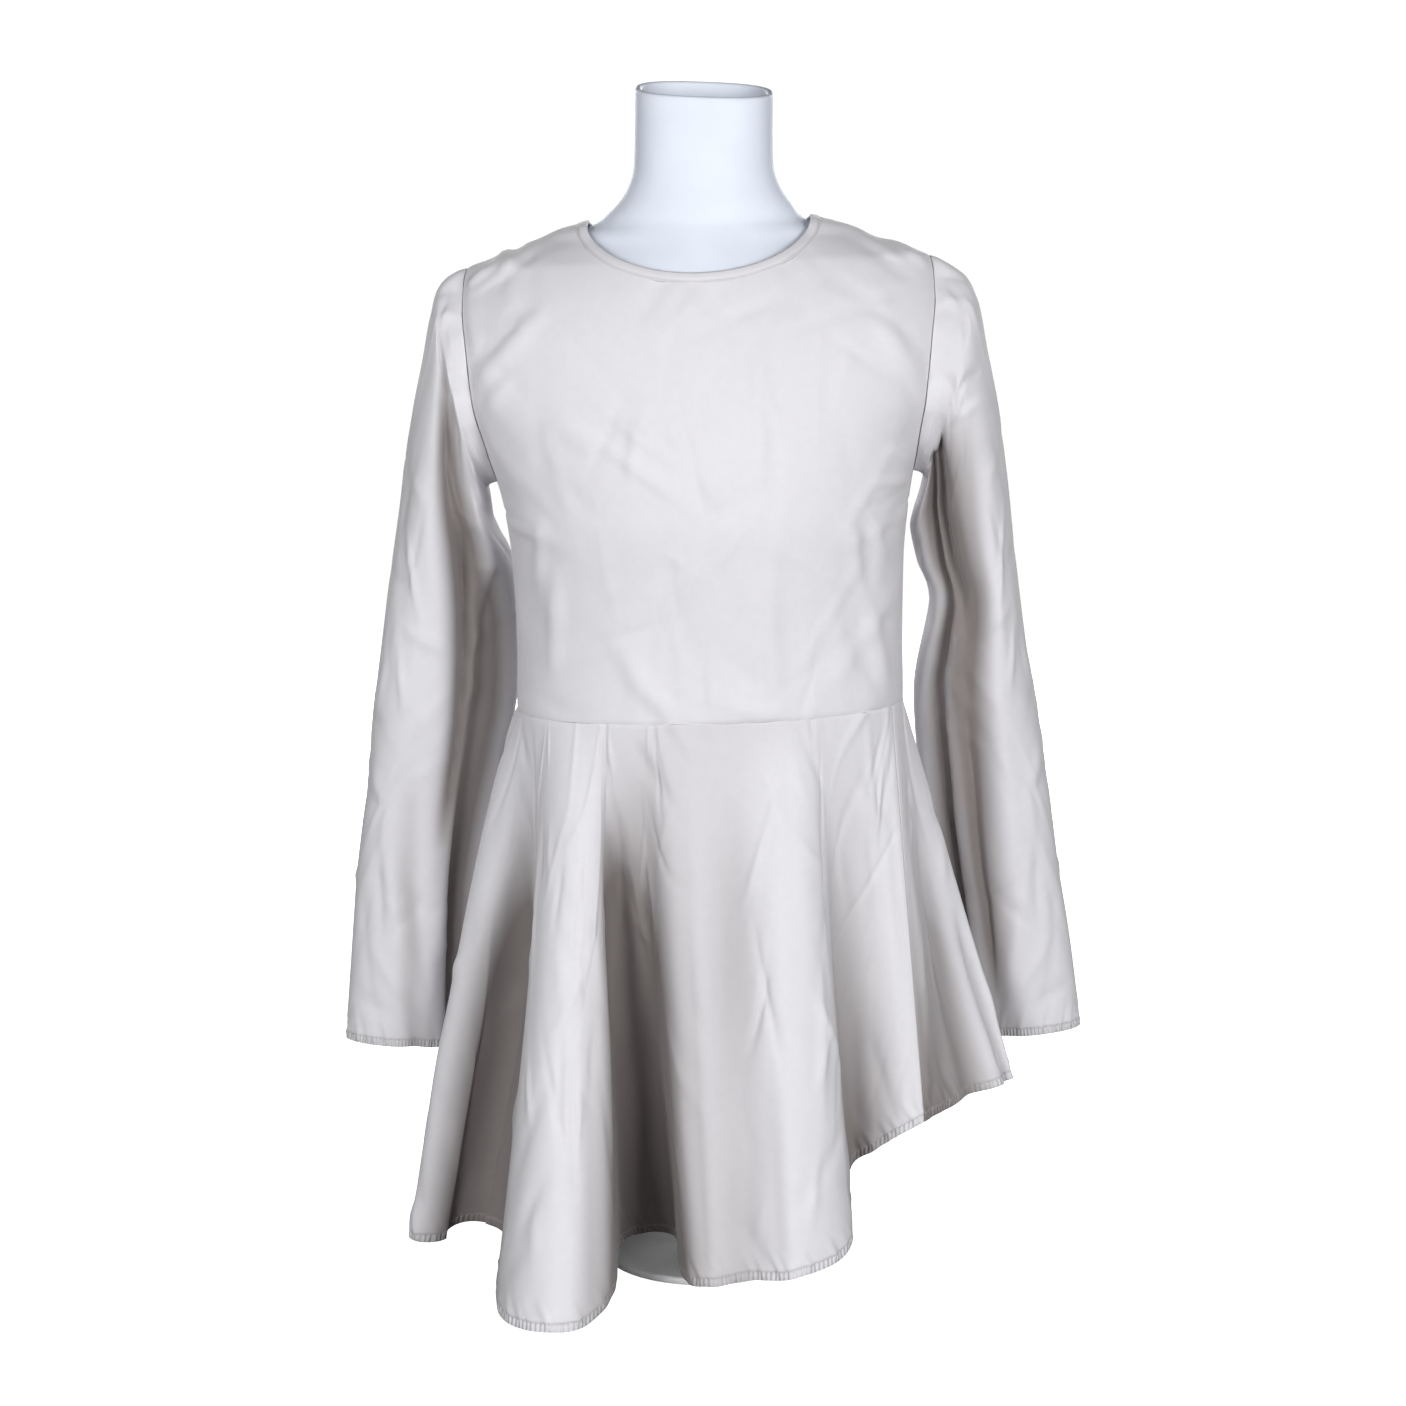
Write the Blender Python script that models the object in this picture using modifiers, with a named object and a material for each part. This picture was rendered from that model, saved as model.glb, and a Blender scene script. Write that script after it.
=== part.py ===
"""Long-sleeved blouse with a flared, slanting skirt part, resting on a limbless display form.

Metres, +Z up, front towards -Y, +X at the wearer's left. The origin is on the surface that the
form stands on, under its pole. Every cloth piece is a loft between sections given by the named
sizes and the short tables below.
"""

import math

import bmesh
import bpy
import numpy as np
from mathutils import Matrix, Vector

CLOTH = 0.0015
BINDING_CLOTH = 0.0018
SEAM = 0.0003
NECK_SEAM = 0.0010
ARMHOLE_SEAM = (0.0009, 0.0, 0.0003)

WAIST_Z = 0.449
UNDERARM_Z = 0.625
SHOULDER_TIP_Z = 0.786
SHOULDER_TIP_X = 0.175
SHOULDER_LINE_TOP_Z = 0.825

NECK_HALF = 0.084
NECK_FRONT_DROP = 0.040
NECK_BACK_DROP = 0.014
BINDING_WIDTH = 0.007
BINDING_DROP_SHARE = 0.7
SLIT_LENGTH = 0.110
SLIT_WIDTH = 0.0008

DART_Z = 0.603
DART_LENGTH = 0.030
DART_DEPTH = 0.0010
DART_SPREAD = 0.0020
DART_FULL_SHARE = 0.3
DART_TURN_IN = 0.25

SLOPE = 0.028
SLOPE_FROM_Z = 0.30
SLOPE_FULL_Z = 0.43

RIM_SLANT = 0.155
RIM_TILT = -0.060
RIM_SLANT_FROM_Z = 0.865
NECK_WALL = 0.006
NECK_WELL_DEPTH = 0.080
NECK_TOP_Z = 0.9155
FORM_DROP = 0.0030
FORM_DROP_RISE = (0.700, 0.775)
FORM_DROP_FALL = (0.815, 0.845)

POLE_RADIUS = 0.0125
BASE_RADIUS = 0.080
BASE_HEIGHT = 0.006
BASE_ROUND = 0.002

BUTTON_RADIUS = 0.0052
BUTTON_THICK = 0.0024
# Shares of the button's radius and thickness, from the dish in its top to its back.
BUTTON_OUTLINE = ((0.0, 0.75), (0.6, 0.75), (0.8, 1.0), (0.95, 0.88), (1.0, 0.5), (0.9, 0.0))
SHANK_RADIUS = 0.0012
SHANK_HEIGHT = 0.0019
BUTTON_X = 0.0060
LOOP_RADIUS = 0.0023
LOOP_THREAD = 0.0006
LOOP_LEG = 0.0110

# Level sections of the cloth's inner face, and how far the form keeps inside it at the side,
# front and back.
BODY_COLUMNS = ("z", "half", "front", "back", "power", "in_side", "in_front", "in_back")
BODY = (
    (0.3350, 0.0500, 0.0360, 0.0340, 2.00, 0.0000, 0.0000, 0.0000),
    (0.3450, 0.0820, 0.0600, 0.0550, 2.00, 0.0000, 0.0000, 0.0000),
    (0.3650, 0.1080, 0.0790, 0.0710, 2.10, 0.0000, 0.0000, 0.0000),
    (0.3950, 0.1460, 0.1010, 0.0890, 2.20, 0.0250, 0.0120, 0.0100),
    (0.4490, 0.1486, 0.1050, 0.0880, 2.30, 0.0250, 0.0120, 0.0100),
    (0.5000, 0.1478, 0.1080, 0.0940, 2.30, 0.0168, 0.0080, 0.0070),
    (0.5570, 0.1490, 0.1171, 0.0990, 2.30, 0.0080, 0.0040, 0.0045),
    (0.6020, 0.1536, 0.1241, 0.1032, 2.30, 0.0050, 0.0030, 0.0040),
    (0.6250, 0.1580, 0.1240, 0.1054, 2.28, 0.0045, 0.0030, 0.0035),
    (0.6570, 0.1688, 0.1200, 0.1080, 2.25, 0.0045, 0.0030, 0.0035),
    (0.6900, 0.1838, 0.1119, 0.1079, 2.20, 0.0045, 0.0030, 0.0035),
    (0.7320, 0.1894, 0.0981, 0.1017, 2.10, 0.0040, 0.0025, 0.0030),
    (0.7570, 0.1863, 0.0875, 0.0939, 1.95, 0.0030, 0.0018, 0.0025),
    (0.7750, 0.1808, 0.0789, 0.0865, 1.75, 0.0022, 0.0014, 0.0020),
    (0.7860, 0.1750, 0.0729, 0.0809, 1.60, 0.0022, 0.0018, 0.0024),
    (0.7920, 0.1590, 0.0697, 0.0779, 1.52, 0.0022, 0.0020, 0.0024),
    (0.7975, 0.1415, 0.0667, 0.0749, 1.48, 0.0022, 0.0022, 0.0024),
    (0.8035, 0.1240, 0.0637, 0.0719, 1.45, 0.0024, 0.0024, 0.0026),
    (0.8135, 0.1050, 0.0587, 0.0672, 1.50, 0.0024, 0.0024, 0.0026),
    (0.8190, 0.0840, 0.0563, 0.0645, 1.60, 0.0020, 0.0022, 0.0024),
    (0.8290, 0.0712, 0.0537, 0.0607, 1.85, 0.0014, 0.0014, 0.0014),
    (0.8440, 0.0592, 0.0512, 0.0562, 2.10, 0.0010, 0.0010, 0.0010),
    (0.8600, 0.0542, 0.0502, 0.0532, 2.35, 0.0007, 0.0007, 0.0007),
    (0.8900, 0.0535, 0.0497, 0.0517, 2.60, 0.0007, 0.0007, 0.0007),
    (0.9300, 0.0537, 0.0497, 0.0517, 2.60, 0.0007, 0.0007, 0.0007),
)

# Half width of the bodice panels along the armhole, between underarm and shoulder tip.
ARMHOLE_COLUMNS = ("z", "half")
ARMHOLE = (
    (0.6250, 0.1580),
    (0.6400, 0.1605),
    (0.6570, 0.1633),
    (0.6800, 0.1680),
    (0.7320, 0.1740),
    (0.7570, 0.1768),
    (0.7750, 0.1766),
    (0.7860, 0.1750),
)

# How far the clothed body leans sideways at each height.
LEAN_COLUMNS = ("z", "shift")
LEAN = (
    (0.300, 0.0),
    (0.449, 0.0055),
    (0.600, 0.0030),
    (0.700, -0.0030),
    (0.810, -0.0035),
    (0.835, 0.0),
    (0.930, 0.0010),
)

# Sleeve sections from armhole to cuff: outermost point, innermost point and half depth.
SLEEVE_COLUMNS = ("outer_x", "outer_z", "inner_x", "inner_z", "outer_y", "inner_y", "depth")
SLEEVES = {
    "sleeve_right": (
        (0.1755, 0.7875, 0.1600, 0.6255, 0.000, 0.000, 0.0500),
        (0.1900, 0.7815, 0.1650, 0.6245, 0.002, 0.002, 0.0530),
        (0.1990, 0.7715, 0.1690, 0.6210, 0.004, 0.004, 0.0560),
        (0.2050, 0.7527, 0.1675, 0.6140, 0.006, 0.008, 0.0590),
        (0.2120, 0.7185, 0.1670, 0.6050, 0.009, 0.013, 0.0610),
        (0.2218, 0.6780, 0.1665, 0.5950, 0.013, 0.020, 0.0620),
        (0.2325, 0.6350, 0.1625, 0.5830, 0.016, 0.030, 0.0615),
        (0.2434, 0.5790, 0.1540, 0.5600, 0.018, 0.046, 0.0590),
        (0.2530, 0.5260, 0.1510, 0.5150, 0.020, 0.054, 0.0550),
        (0.2640, 0.4530, 0.1530, 0.4550, 0.024, 0.058, 0.0510),
        (0.2735, 0.3550, 0.1690, 0.3600, 0.040, 0.060, 0.0440),
        (0.2835, 0.2550, 0.1800, 0.2550, 0.055, 0.060, 0.0350),
        (0.2925, 0.1600, 0.1860, 0.1560, 0.064, 0.064, 0.0280),
    ),
    "sleeve_left": (
        (0.1755, 0.7875, 0.1600, 0.6255, 0.000, 0.000, 0.0500),
        (0.1920, 0.7795, 0.1650, 0.6245, 0.002, 0.002, 0.0530),
        (0.2050, 0.7690, 0.1690, 0.6200, 0.004, 0.004, 0.0560),
        (0.2135, 0.7520, 0.1675, 0.6120, 0.006, 0.006, 0.0590),
        (0.2205, 0.7180, 0.1640, 0.6010, 0.009, 0.009, 0.0610),
        (0.2285, 0.6780, 0.1595, 0.5890, 0.013, 0.013, 0.0620),
        (0.2325, 0.6300, 0.1580, 0.5760, 0.018, 0.018, 0.0615),
        (0.2380, 0.5700, 0.1635, 0.5500, 0.023, 0.023, 0.0600),
        (0.2435, 0.5250, 0.1730, 0.5180, 0.027, 0.028, 0.0580),
        (0.2550, 0.4500, 0.1615, 0.4480, 0.033, 0.038, 0.0530),
        (0.2765, 0.3520, 0.1725, 0.3560, 0.044, 0.050, 0.0440),
        (0.2960, 0.2550, 0.1910, 0.2550, 0.056, 0.060, 0.0350),
        (0.3090, 0.1710, 0.2030, 0.1630, 0.064, 0.064, 0.0280),
    ),
}

# Folds along a sleeve: place round it and along it (0 armhole, 1 cuff); a positive depth is a
# trough. Turn 0 is the outer edge, 90 the front, 180 the inner edge, 270 the back.
FOLD_COLUMNS = ("turn_from", "turn_to", "start", "end", "depth", "spread")
SLEEVE_FOLDS = {
    "sleeve_right": (
        (84.0, 124.0, 0.15, 0.90, 0.0130, 20.0),
        (138.0, 148.0, 0.30, 0.66, -0.0060, 14.0),
        (255.0, 240.0, 0.20, 0.80, 0.0070, 24.0),
    ),
    "sleeve_left": (
        (130.0, 120.0, 0.20, 0.70, 0.0190, 11.0),
        (84.0, 100.0, 0.30, 0.95, 0.0060, 20.0),
        (270.0, 250.0, 0.20, 0.80, 0.0070, 24.0),
    ),
}

# Skirt crests and valleys. Turn is the place on the waist: 0 front, 90 wearer's left, -90 right.
# x, y and z are the hem point below it; a start over 1 hangs straight down first.
HEM_COLUMNS = ("turn", "x", "y", "z", "start")
HEM = (
    (-90.0, -0.2370, -0.005, 0.0145, 0.80),
    (-78.0, -0.2130, -0.034, 0.0160, 1.00),
    (-69.0, -0.1800, -0.034, 0.0250, 1.30),
    (-60.0, -0.1610, -0.052, 0.0240, 1.45),
    (-52.0, -0.1545, -0.154, 0.0090, 1.20),
    (-43.0, -0.1150, -0.198, 0.0100, 1.05),
    (-36.0, -0.0830, -0.184, 0.0125, 1.05),
    (-31.0, -0.0660, -0.146, 0.0260, 1.10),
    (-27.0, -0.0640, -0.068, 0.0290, 1.35),
    (-22.0, -0.0440, -0.044, 0.0310, 1.45),
    (-17.0, -0.0190, -0.062, 0.0310, 1.40),
    (-13.0, -0.0150, -0.138, 0.0310, 1.20),
    (-6.0, 0.0040, -0.171, 0.0350, 1.10),
    (4.0, 0.0320, -0.166, 0.0380, 1.15),
    (16.0, 0.0700, -0.185, 0.0470, 1.00),
    (27.0, 0.1110, -0.149, 0.0580, 1.10),
    (37.0, 0.1130, -0.084, 0.0930, 2.00),
    (49.0, 0.1330, -0.084, 0.1120, 1.50),
    (66.0, 0.1700, -0.092, 0.1370, 1.00),
    (80.0, 0.2000, -0.052, 0.1400, 1.25),
    (94.0, 0.2465, -0.012, 0.1480, 1.00),
    (103.0, 0.2120, 0.006, 0.1440, 1.00),
    (113.0, 0.1660, 0.032, 0.1360, 1.00),
    (128.0, 0.1560, 0.098, 0.1240, 1.00),
    (140.0, 0.1180, 0.104, 0.1080, 1.60),
    (157.0, 0.0920, 0.172, 0.0880, 1.00),
    (176.0, 0.0240, 0.108, 0.0700, 1.80),
    (197.0, -0.0500, 0.182, 0.0480, 1.00),
    (218.0, -0.0980, 0.108, 0.0340, 1.80),
    (238.0, -0.1750, 0.135, 0.0220, 0.95),
    (254.0, -0.1960, 0.070, 0.0240, 1.20),
)
SKIRT_SEAM_RIGHT = -95.0
SKIRT_SEAM_LEFT = 66.0
SEAM_STEP = 0.6
SIDE_SEAM_SHARE = 0.6

# How the points are spread: powers over 1 crowd the rows towards the shoulder or the armhole.
CORNER_TURN = 85.0
BODICE_CROWDING = 1.8
DART_ROW_ROOM = 0.02
SLEEVE_CROWDING = 1.15
ARMHOLE_EASE = 0.30
FOLD_FADE = 0.7
BODICE_SIDE_COLUMNS, FRONT_NECK_COLUMNS, BACK_NECK_COLUMNS, BODICE_ROWS = 7, 16, 14, 14
SKIRT_FRONT_COLUMNS, SKIRT_BACK_COLUMNS, SKIRT_ROWS = 56, 42, 11
SLEEVE_ROUND, SLEEVE_ROWS = 28, 17
FORM_ROUND = 36


def column(table, names, name):
    """One named column of a table, as an array."""
    return np.array([row[names.index(name)] for row in table])


def monotone(keys, values, at):
    """Cubic through the rows whose slopes never overshoot them (weighted harmonic means)."""
    step = np.diff(keys)
    rise = np.diff(values) / step
    same = rise[:-1] * rise[1:] > 0.0
    left, right = 2 * step[1:] + step[:-1], step[1:] + 2 * step[:-1]
    safe = np.where(same, rise[:-1] * rise[1:], 1.0)
    middle = np.where(same, (left + right) * safe
                      / np.where(same, left * rise[1:] + right * rise[:-1], 1.0), 0.0)
    slope = np.concatenate(([rise[0]], middle, [rise[-1]]))
    return hermite(keys, values, slope, np.clip(at, keys[0], keys[-1]))


def hermite(keys, values, slope, at):
    """Cubic pieces that meet the given values and slopes at the keys."""
    i = np.clip(np.searchsorted(keys, at, side="right") - 1, 0, len(keys) - 2)
    step = keys[i + 1] - keys[i]
    t = (at - keys[i]) / step
    return ((2 * t**3 - 3 * t**2 + 1) * values[i] + (t**3 - 2 * t**2 + t) * step * slope[i]
            + (3 * t**2 - 2 * t**3) * values[i + 1] + (t**3 - t**2) * step * slope[i + 1])


def smooth(keys, values, at):
    """Cubic through the rows, each slope taken from its two neighbours."""
    return hermite(keys, values, np.gradient(values, keys), at)


def smoothstep(x, low, high):
    """0 below low, 1 above high, and an eased rise between."""
    t = np.clip((x - low) / (high - low), 0.0, 1.0)
    return t * t * (3 - 2 * t)


def section(z, cloth=True):
    """Half width, front depth, back depth and power of the level section at height z."""
    heights = column(BODY, BODY_COLUMNS, "z")

    def at(name):
        return monotone(heights, column(BODY, BODY_COLUMNS, name), z)

    inset = 0.0 if cloth else 1.0
    return (at("half") - inset * at("in_side"), at("front") - inset * at("in_front"),
            at("back") - inset * at("in_back"), at("power"))


def surface_y(x, z, side):
    """Depth of the cloth's inner face at (x, z); side is -1 in front and +1 behind."""
    half, front, back, power = section(z)
    depth = front if side < 0 else back
    inside = np.clip(1.0 - np.abs(x / half) ** power, 0.0, 1.0)
    return side * depth * inside ** (1.0 / power)


def outward(x, y, z, side):
    """Unit normal of the body: the gradient of |x/half|^p + |y/depth|^p."""
    def level(height):
        half, front, back, power = section(height)
        depth = front if side < 0 else back
        return np.abs(x / half) ** power + np.abs(y / depth) ** power

    half, front, back, power = section(z)
    depth = front if side < 0 else back
    rise = 0.0005
    normal = np.stack([power * np.sign(x) * (np.abs(x) / half) ** (power - 1) / half,
                       power * np.sign(y) * (np.abs(y) / depth) ** (power - 1) / depth,
                       (level(z + rise) - level(z - rise)) / (2 * rise)], -1)
    return normal / np.linalg.norm(normal, axis=-1, keepdims=True)


def ridge_z(x):
    """Height of the shoulder line at x: the level where the section's half width is x."""
    z = np.linspace(SHOULDER_TIP_Z - 0.002, SHOULDER_LINE_TOP_Z, 400)
    half = section(z)[0]
    return np.interp(-np.abs(x), -half, z)


def panel_half(z):
    """Half width of the bodice panels: the body's side, then the armhole curve."""
    armhole = monotone(column(ARMHOLE, ARMHOLE_COLUMNS, "z"),
                       column(ARMHOLE, ARMHOLE_COLUMNS, "half"), z)
    return np.where(z < UNDERARM_Z, section(z)[0], armhole)


def neck_edge(x, widen, drop):
    """Height of the neckline at x: half an ellipse hung from the shoulder line."""
    half = NECK_HALF + widen
    arc = np.sqrt(np.clip(1.0 - (x / half) ** 2, 0.0, 1.0))
    return ridge_z(np.array(half)) - (drop + BINDING_DROP_SHARE * widen) * arc


def panel_top(x, drop):
    """Upper edge of a bodice panel: shoulder line outside the binding, neckline inside it."""
    widen = BINDING_WIDTH + NECK_SEAM
    inside = np.abs(x) < NECK_HALF + widen
    return np.where(inside, neck_edge(x, widen, drop), ridge_z(x))


def stance(points):
    """Lean and slope of the clothed body, fading out below the waist."""
    shifted = points.copy()
    x, z = points[..., 0], points[..., 2]
    shift = monotone(column(LEAN, LEAN_COLUMNS, "z"), column(LEAN, LEAN_COLUMNS, "shift"), z)
    shifted[..., 0] = x + shift
    shifted[..., 2] = z + SLOPE * x * smoothstep(z, SLOPE_FROM_Z, SLOPE_FULL_Z)
    return shifted


def material(name, colour, roughness, sheen=0.0):
    """A Principled material for one sub-part."""
    made = bpy.data.materials.new(name)
    made.use_nodes = True
    shader = made.node_tree.nodes["Principled BSDF"]
    shader.inputs["Base Color"].default_value = (*colour, 1.0)
    shader.inputs["Roughness"].default_value = roughness
    shader.inputs["Sheen Weight"].default_value = sheen
    made.diffuse_color = (*colour, 1.0)
    return made


def add_object(name, mesh, collection, finish):
    """Link a mesh as one named object with its material."""
    placed = bpy.data.objects.new(name, mesh)
    collection.objects.link(placed)
    mesh.materials.append(finish)
    return placed


def grid_faces(rows, columns, wrap, flip, skip=None):
    """Quads of a grid; wrap closes its columns, skip(row, column) leaves a face out."""
    faces = []
    for row in range(rows - 1):
        for left in range(columns if wrap else columns - 1):
            if skip and skip(row, left):
                continue
            right = (left + 1) % columns
            quad = (row * columns + left, row * columns + right,
                    (row + 1) * columns + right, (row + 1) * columns + left)
            faces.append(quad[::-1] if flip else quad)
    return faces


def cloth_object(name, grid, collection, finish, wrap=False, flip=False, skip=None,
                 thick=CLOTH, outwards=True):
    """A grid of points given a wall, outwards from it or inwards."""
    rows, columns = grid.shape[:2]
    mesh = bpy.data.meshes.new(name)
    mesh.from_pydata(grid.reshape(-1, 3).tolist(), [],
                     grid_faces(rows, columns, wrap, flip, skip))
    mesh.update()
    placed = add_object(name, mesh, collection, finish)
    wall = placed.modifiers.new("wall", "SOLIDIFY")
    wall.thickness = thick
    wall.offset = 1.0 if outwards else -1.0
    mesh.shade_smooth()
    return placed


def spaced(corner, beside, inside):
    """Shares from -1 to 1 with knots at the neck corners, denser there and at the sides."""
    angles = np.radians(np.concatenate((np.linspace(-90.0, 90.0, inside + 1),
                                        (-CORNER_TURN, CORNER_TURN))))
    neck = corner * np.sin(np.sort(angles))
    shoulder = corner + (1.0 - corner) * np.sin(np.linspace(0.0, math.pi / 2, beside + 1)[1:])
    return np.concatenate((-shoulder[::-1], neck, shoulder))


def bodice_grid(side, drop, inside):
    """Points (row, column): x is a share of the panel's half width, z a share of its height."""
    corner = (NECK_HALF + BINDING_WIDTH + NECK_SEAM) / SHOULDER_TIP_X
    across = spaced(corner, BODICE_SIDE_COLUMNS, inside)
    if side > 0:
        split = SLIT_WIDTH / 2 / SHOULDER_TIP_X
        across = np.concatenate((across[across < -1e-6], (-split, split), across[across > 1e-6]))
    up = 1.0 - (1.0 - np.linspace(0.0, 1.0, BODICE_ROWS)) ** BODICE_CROWDING
    if side < 0:
        dart = (DART_Z - WAIST_Z) / (SHOULDER_TIP_Z - WAIST_Z)
        half_dart = DART_SPREAD / (SHOULDER_TIP_Z - WAIST_Z)
        up = np.sort(np.concatenate((up[np.abs(up - dart) > DART_ROW_ROOM],
                                     (dart - 2 * half_dart, dart, dart + 2 * half_dart))))
    share, rise = np.meshgrid(across, up)
    x = share * SHOULDER_TIP_X
    for _ in range(6):
        z = WAIST_Z + rise * (panel_top(share * panel_half(panel_top(x, drop)), drop) - WAIST_Z)
        x = share * panel_half(z)
    y = surface_y(x, z, side)
    y = np.minimum(y, -SEAM / 2) if side < 0 else np.maximum(y, SEAM / 2)
    return np.stack([x, y, z], -1)


def sewn_dart(grid):
    """Sink a short crease into the front beside each side seam, at bust height."""
    x, y, z = grid[..., 0], grid[..., 1], grid[..., 2]
    from_side = panel_half(z) - np.abs(x) - DART_TURN_IN * y
    reach = 1.0 - smoothstep(from_side, DART_FULL_SHARE * DART_LENGTH, DART_LENGTH)
    sink = DART_DEPTH * reach * np.exp(-((z - DART_Z) / DART_SPREAD) ** 2)
    return grid - sink[..., None] * outward(x, y, z, -1)


def build_bodice(collection, cloth):
    """Front with darts, and back with its slit; both stop at waist, armholes and binding."""
    front = bodice_grid(-1, NECK_FRONT_DROP, FRONT_NECK_COLUMNS)
    cloth_object("bodice_front", stance(sewn_dart(front)), collection, cloth)

    back = bodice_grid(1, NECK_BACK_DROP, BACK_NECK_COLUMNS)
    middle = back.shape[1] // 2 - 1
    top = back[-1, middle, 2]
    slit_row = np.argmin(np.abs(back[:, middle, 2] - (top - SLIT_LENGTH)))

    def is_slit(row, left):
        return left == middle and row >= slit_row

    cloth_object("bodice_back", stance(back), collection, cloth, flip=True, skip=is_slit)
    return front[-1], back[-1]


def binding_curve(widen, turns):
    """The neckline, widened, at each turn from the back middle round to it again."""
    half = NECK_HALF + widen
    x = half * np.sin(turns)
    behind = np.cos(turns) > 0.0
    z = np.where(behind, neck_edge(x, widen, NECK_BACK_DROP), neck_edge(x, widen, NECK_FRONT_DROP))
    y = np.where(behind, surface_y(x, z, 1), surface_y(x, z, -1))
    return np.stack([x, y, z], -1)


def build_binding(collection, cloth, front_edge, back_edge):
    """Narrow band round the neck, in step with the bodice's neckline, open at the back slit."""
    reach = NECK_HALF + BINDING_WIDTH + NECK_SEAM
    ahead, behind = ((edge[np.abs(edge[:, 0]) < reach + SEAM, 0] / reach).clip(-1.0, 1.0)
                     for edge in (front_edge, back_edge))
    past_slit = np.arcsin(behind[behind > 0.0])
    turns = np.concatenate((past_slit, math.pi - np.arcsin(ahead[::-1])[1:-1],
                            2 * math.pi - past_slit[::-1]))
    grid = np.stack([binding_curve(0.0, turns), binding_curve(BINDING_WIDTH, turns)])
    cloth_object("neck_binding", stance(grid), collection, cloth, thick=BINDING_CLOTH)


def armhole_loop(turns):
    """Outer edge of the bodice's armhole; turn 0 is the shoulder tip and 180 the underarm."""
    z = UNDERARM_Z + (SHOULDER_TIP_Z - UNDERARM_Z) * (1 + np.cos(turns)) / 2
    x = panel_half(z)
    in_front = np.sin(turns) > 0.0
    loop = np.zeros((len(turns), 3))
    for side, chosen in ((-1, in_front), (1, ~in_front)):
        y = surface_y(x, z, side)
        points = np.stack([x, y, z], -1) + CLOTH * outward(x, y, z, side)
        loop[chosen] = points[chosen]
    return loop + np.array(ARMHOLE_SEAM)


def fold_depth(table, turn, along):
    """Sum of soft bumps that follow each fold's line round and along the sleeve."""
    depth = np.zeros_like(turn)
    for row in table:
        fold = dict(zip(FOLD_COLUMNS, row))
        share = np.clip((along - fold["start"]) / (fold["end"] - fold["start"]), 0.0, 1.0)
        line = fold["turn_from"] + (fold["turn_to"] - fold["turn_from"]) * share
        apart = (turn - np.radians(line) + math.pi) % (2 * math.pi) - math.pi
        fade = np.sin(math.pi * share) ** FOLD_FADE
        depth += fold["depth"] * fade * np.exp(-(apart / np.radians(fold["spread"])) ** 2)
    return depth


def sleeve_grid(name, rows, around):
    """Ellipses between the outermost and innermost points, eased out of the armhole's loop."""
    table = SLEEVES[name]
    keys = np.linspace(0.0, 1.0, len(table))
    along = np.linspace(0.0, 1.0, rows) ** SLEEVE_CROWDING
    turns = np.linspace(0.0, 2 * math.pi, around, endpoint=False)
    size = {part: smooth(keys, column(table, SLEEVE_COLUMNS, part), along)
            for part in SLEEVE_COLUMNS}
    outer = np.stack([size["outer_x"], size["outer_y"], size["outer_z"]], -1)
    inner = np.stack([size["inner_x"], size["inner_y"], size["inner_z"]], -1)
    middle, reach = (outer + inner) / 2, (outer - inner) / 2
    depth = np.zeros_like(middle)
    depth[:, 1] = -size["depth"]
    ring = (middle[:, None] + reach[:, None] * np.cos(turns)[None, :, None]
            + depth[:, None] * np.sin(turns)[None, :, None])
    start = armhole_loop(turns) - ring[0]
    eased = 1.0 - smoothstep(along, 0.0, ARMHOLE_EASE)
    grid = ring + start[None] * eased[:, None, None]
    deep = fold_depth(SLEEVE_FOLDS[name], *np.meshgrid(turns, along))
    to_middle = middle[:, None] - grid
    to_middle /= np.linalg.norm(to_middle, axis=-1, keepdims=True)
    return grid + deep[..., None] * to_middle


def build_sleeves(collection, cloth):
    """Both sleeves hang from their armholes a little behind the body."""
    for name, sign in (("sleeve_right", -1.0), ("sleeve_left", 1.0)):
        grid = sleeve_grid(name, SLEEVE_ROWS, SLEEVE_ROUND)
        grid[..., 0] *= sign
        cloth_object(name, stance(grid), collection, cloth, wrap=True, flip=sign < 0,
                     outwards=False)


def waist_line(turns):
    """Outer face of the bodice's waist edge at each turn, moved down by the seam."""
    half, front, back, power = section(np.full_like(turns, WAIST_Z))
    swing, ahead = np.sin(turns), np.cos(turns)
    x = (half + CLOTH) * np.sign(swing) * np.abs(swing) ** (2 / power)
    depth = np.where(ahead > 0.0, front, back) + CLOTH
    y = -depth * np.sign(ahead) * np.abs(ahead) ** (2 / power)
    return stance(np.stack([x, y, np.full_like(x, WAIST_Z - SEAM)], -1))


def hem_value(name, turns):
    """A column of the hem table at any turn, smooth right round."""
    turn = column(HEM, HEM_COLUMNS, "turn")
    value = column(HEM, HEM_COLUMNS, name)
    keys = np.concatenate((turn[-3:] - 360.0, turn, turn[:3] + 360.0))
    values = np.concatenate((value[-3:], value, value[:3]))
    start = turn[0]
    return smooth(keys, values, (np.degrees(turns) - start) % 360.0 + start)


def skirt_grid(turn_from, turn_to, columns, rows):
    """Each column runs from its waist point to its hem point, leaving the waist as stated."""
    even = np.linspace(turn_from, turn_to, columns - 1)
    turns = np.radians(np.sort(np.concatenate((even, (turn_from + SEAM_STEP, turn_to - SEAM_STEP)))))
    waist = waist_line(turns)
    hem = np.stack([hem_value(axis, turns) for axis in ("x", "y", "z")], -1)
    down = np.linspace(0.0, 1.0, rows + 1)[:, None]
    spread = down ** hem_value("start", turns)[None, :]
    share = np.stack([spread, spread, np.broadcast_to(down, spread.shape)], -1)
    return waist[None] + (hem - waist)[None] * share


def part_seams(grid):
    """Move the first and last column inwards by their share of the seam."""
    for edge, beside in ((0, 1), (-1, -2)):
        step = grid[:, beside] - grid[:, edge]
        step /= np.linalg.norm(step, axis=-1, keepdims=True)
        grid[:, edge] += step * SEAM * SIDE_SEAM_SHARE
    return grid


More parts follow.
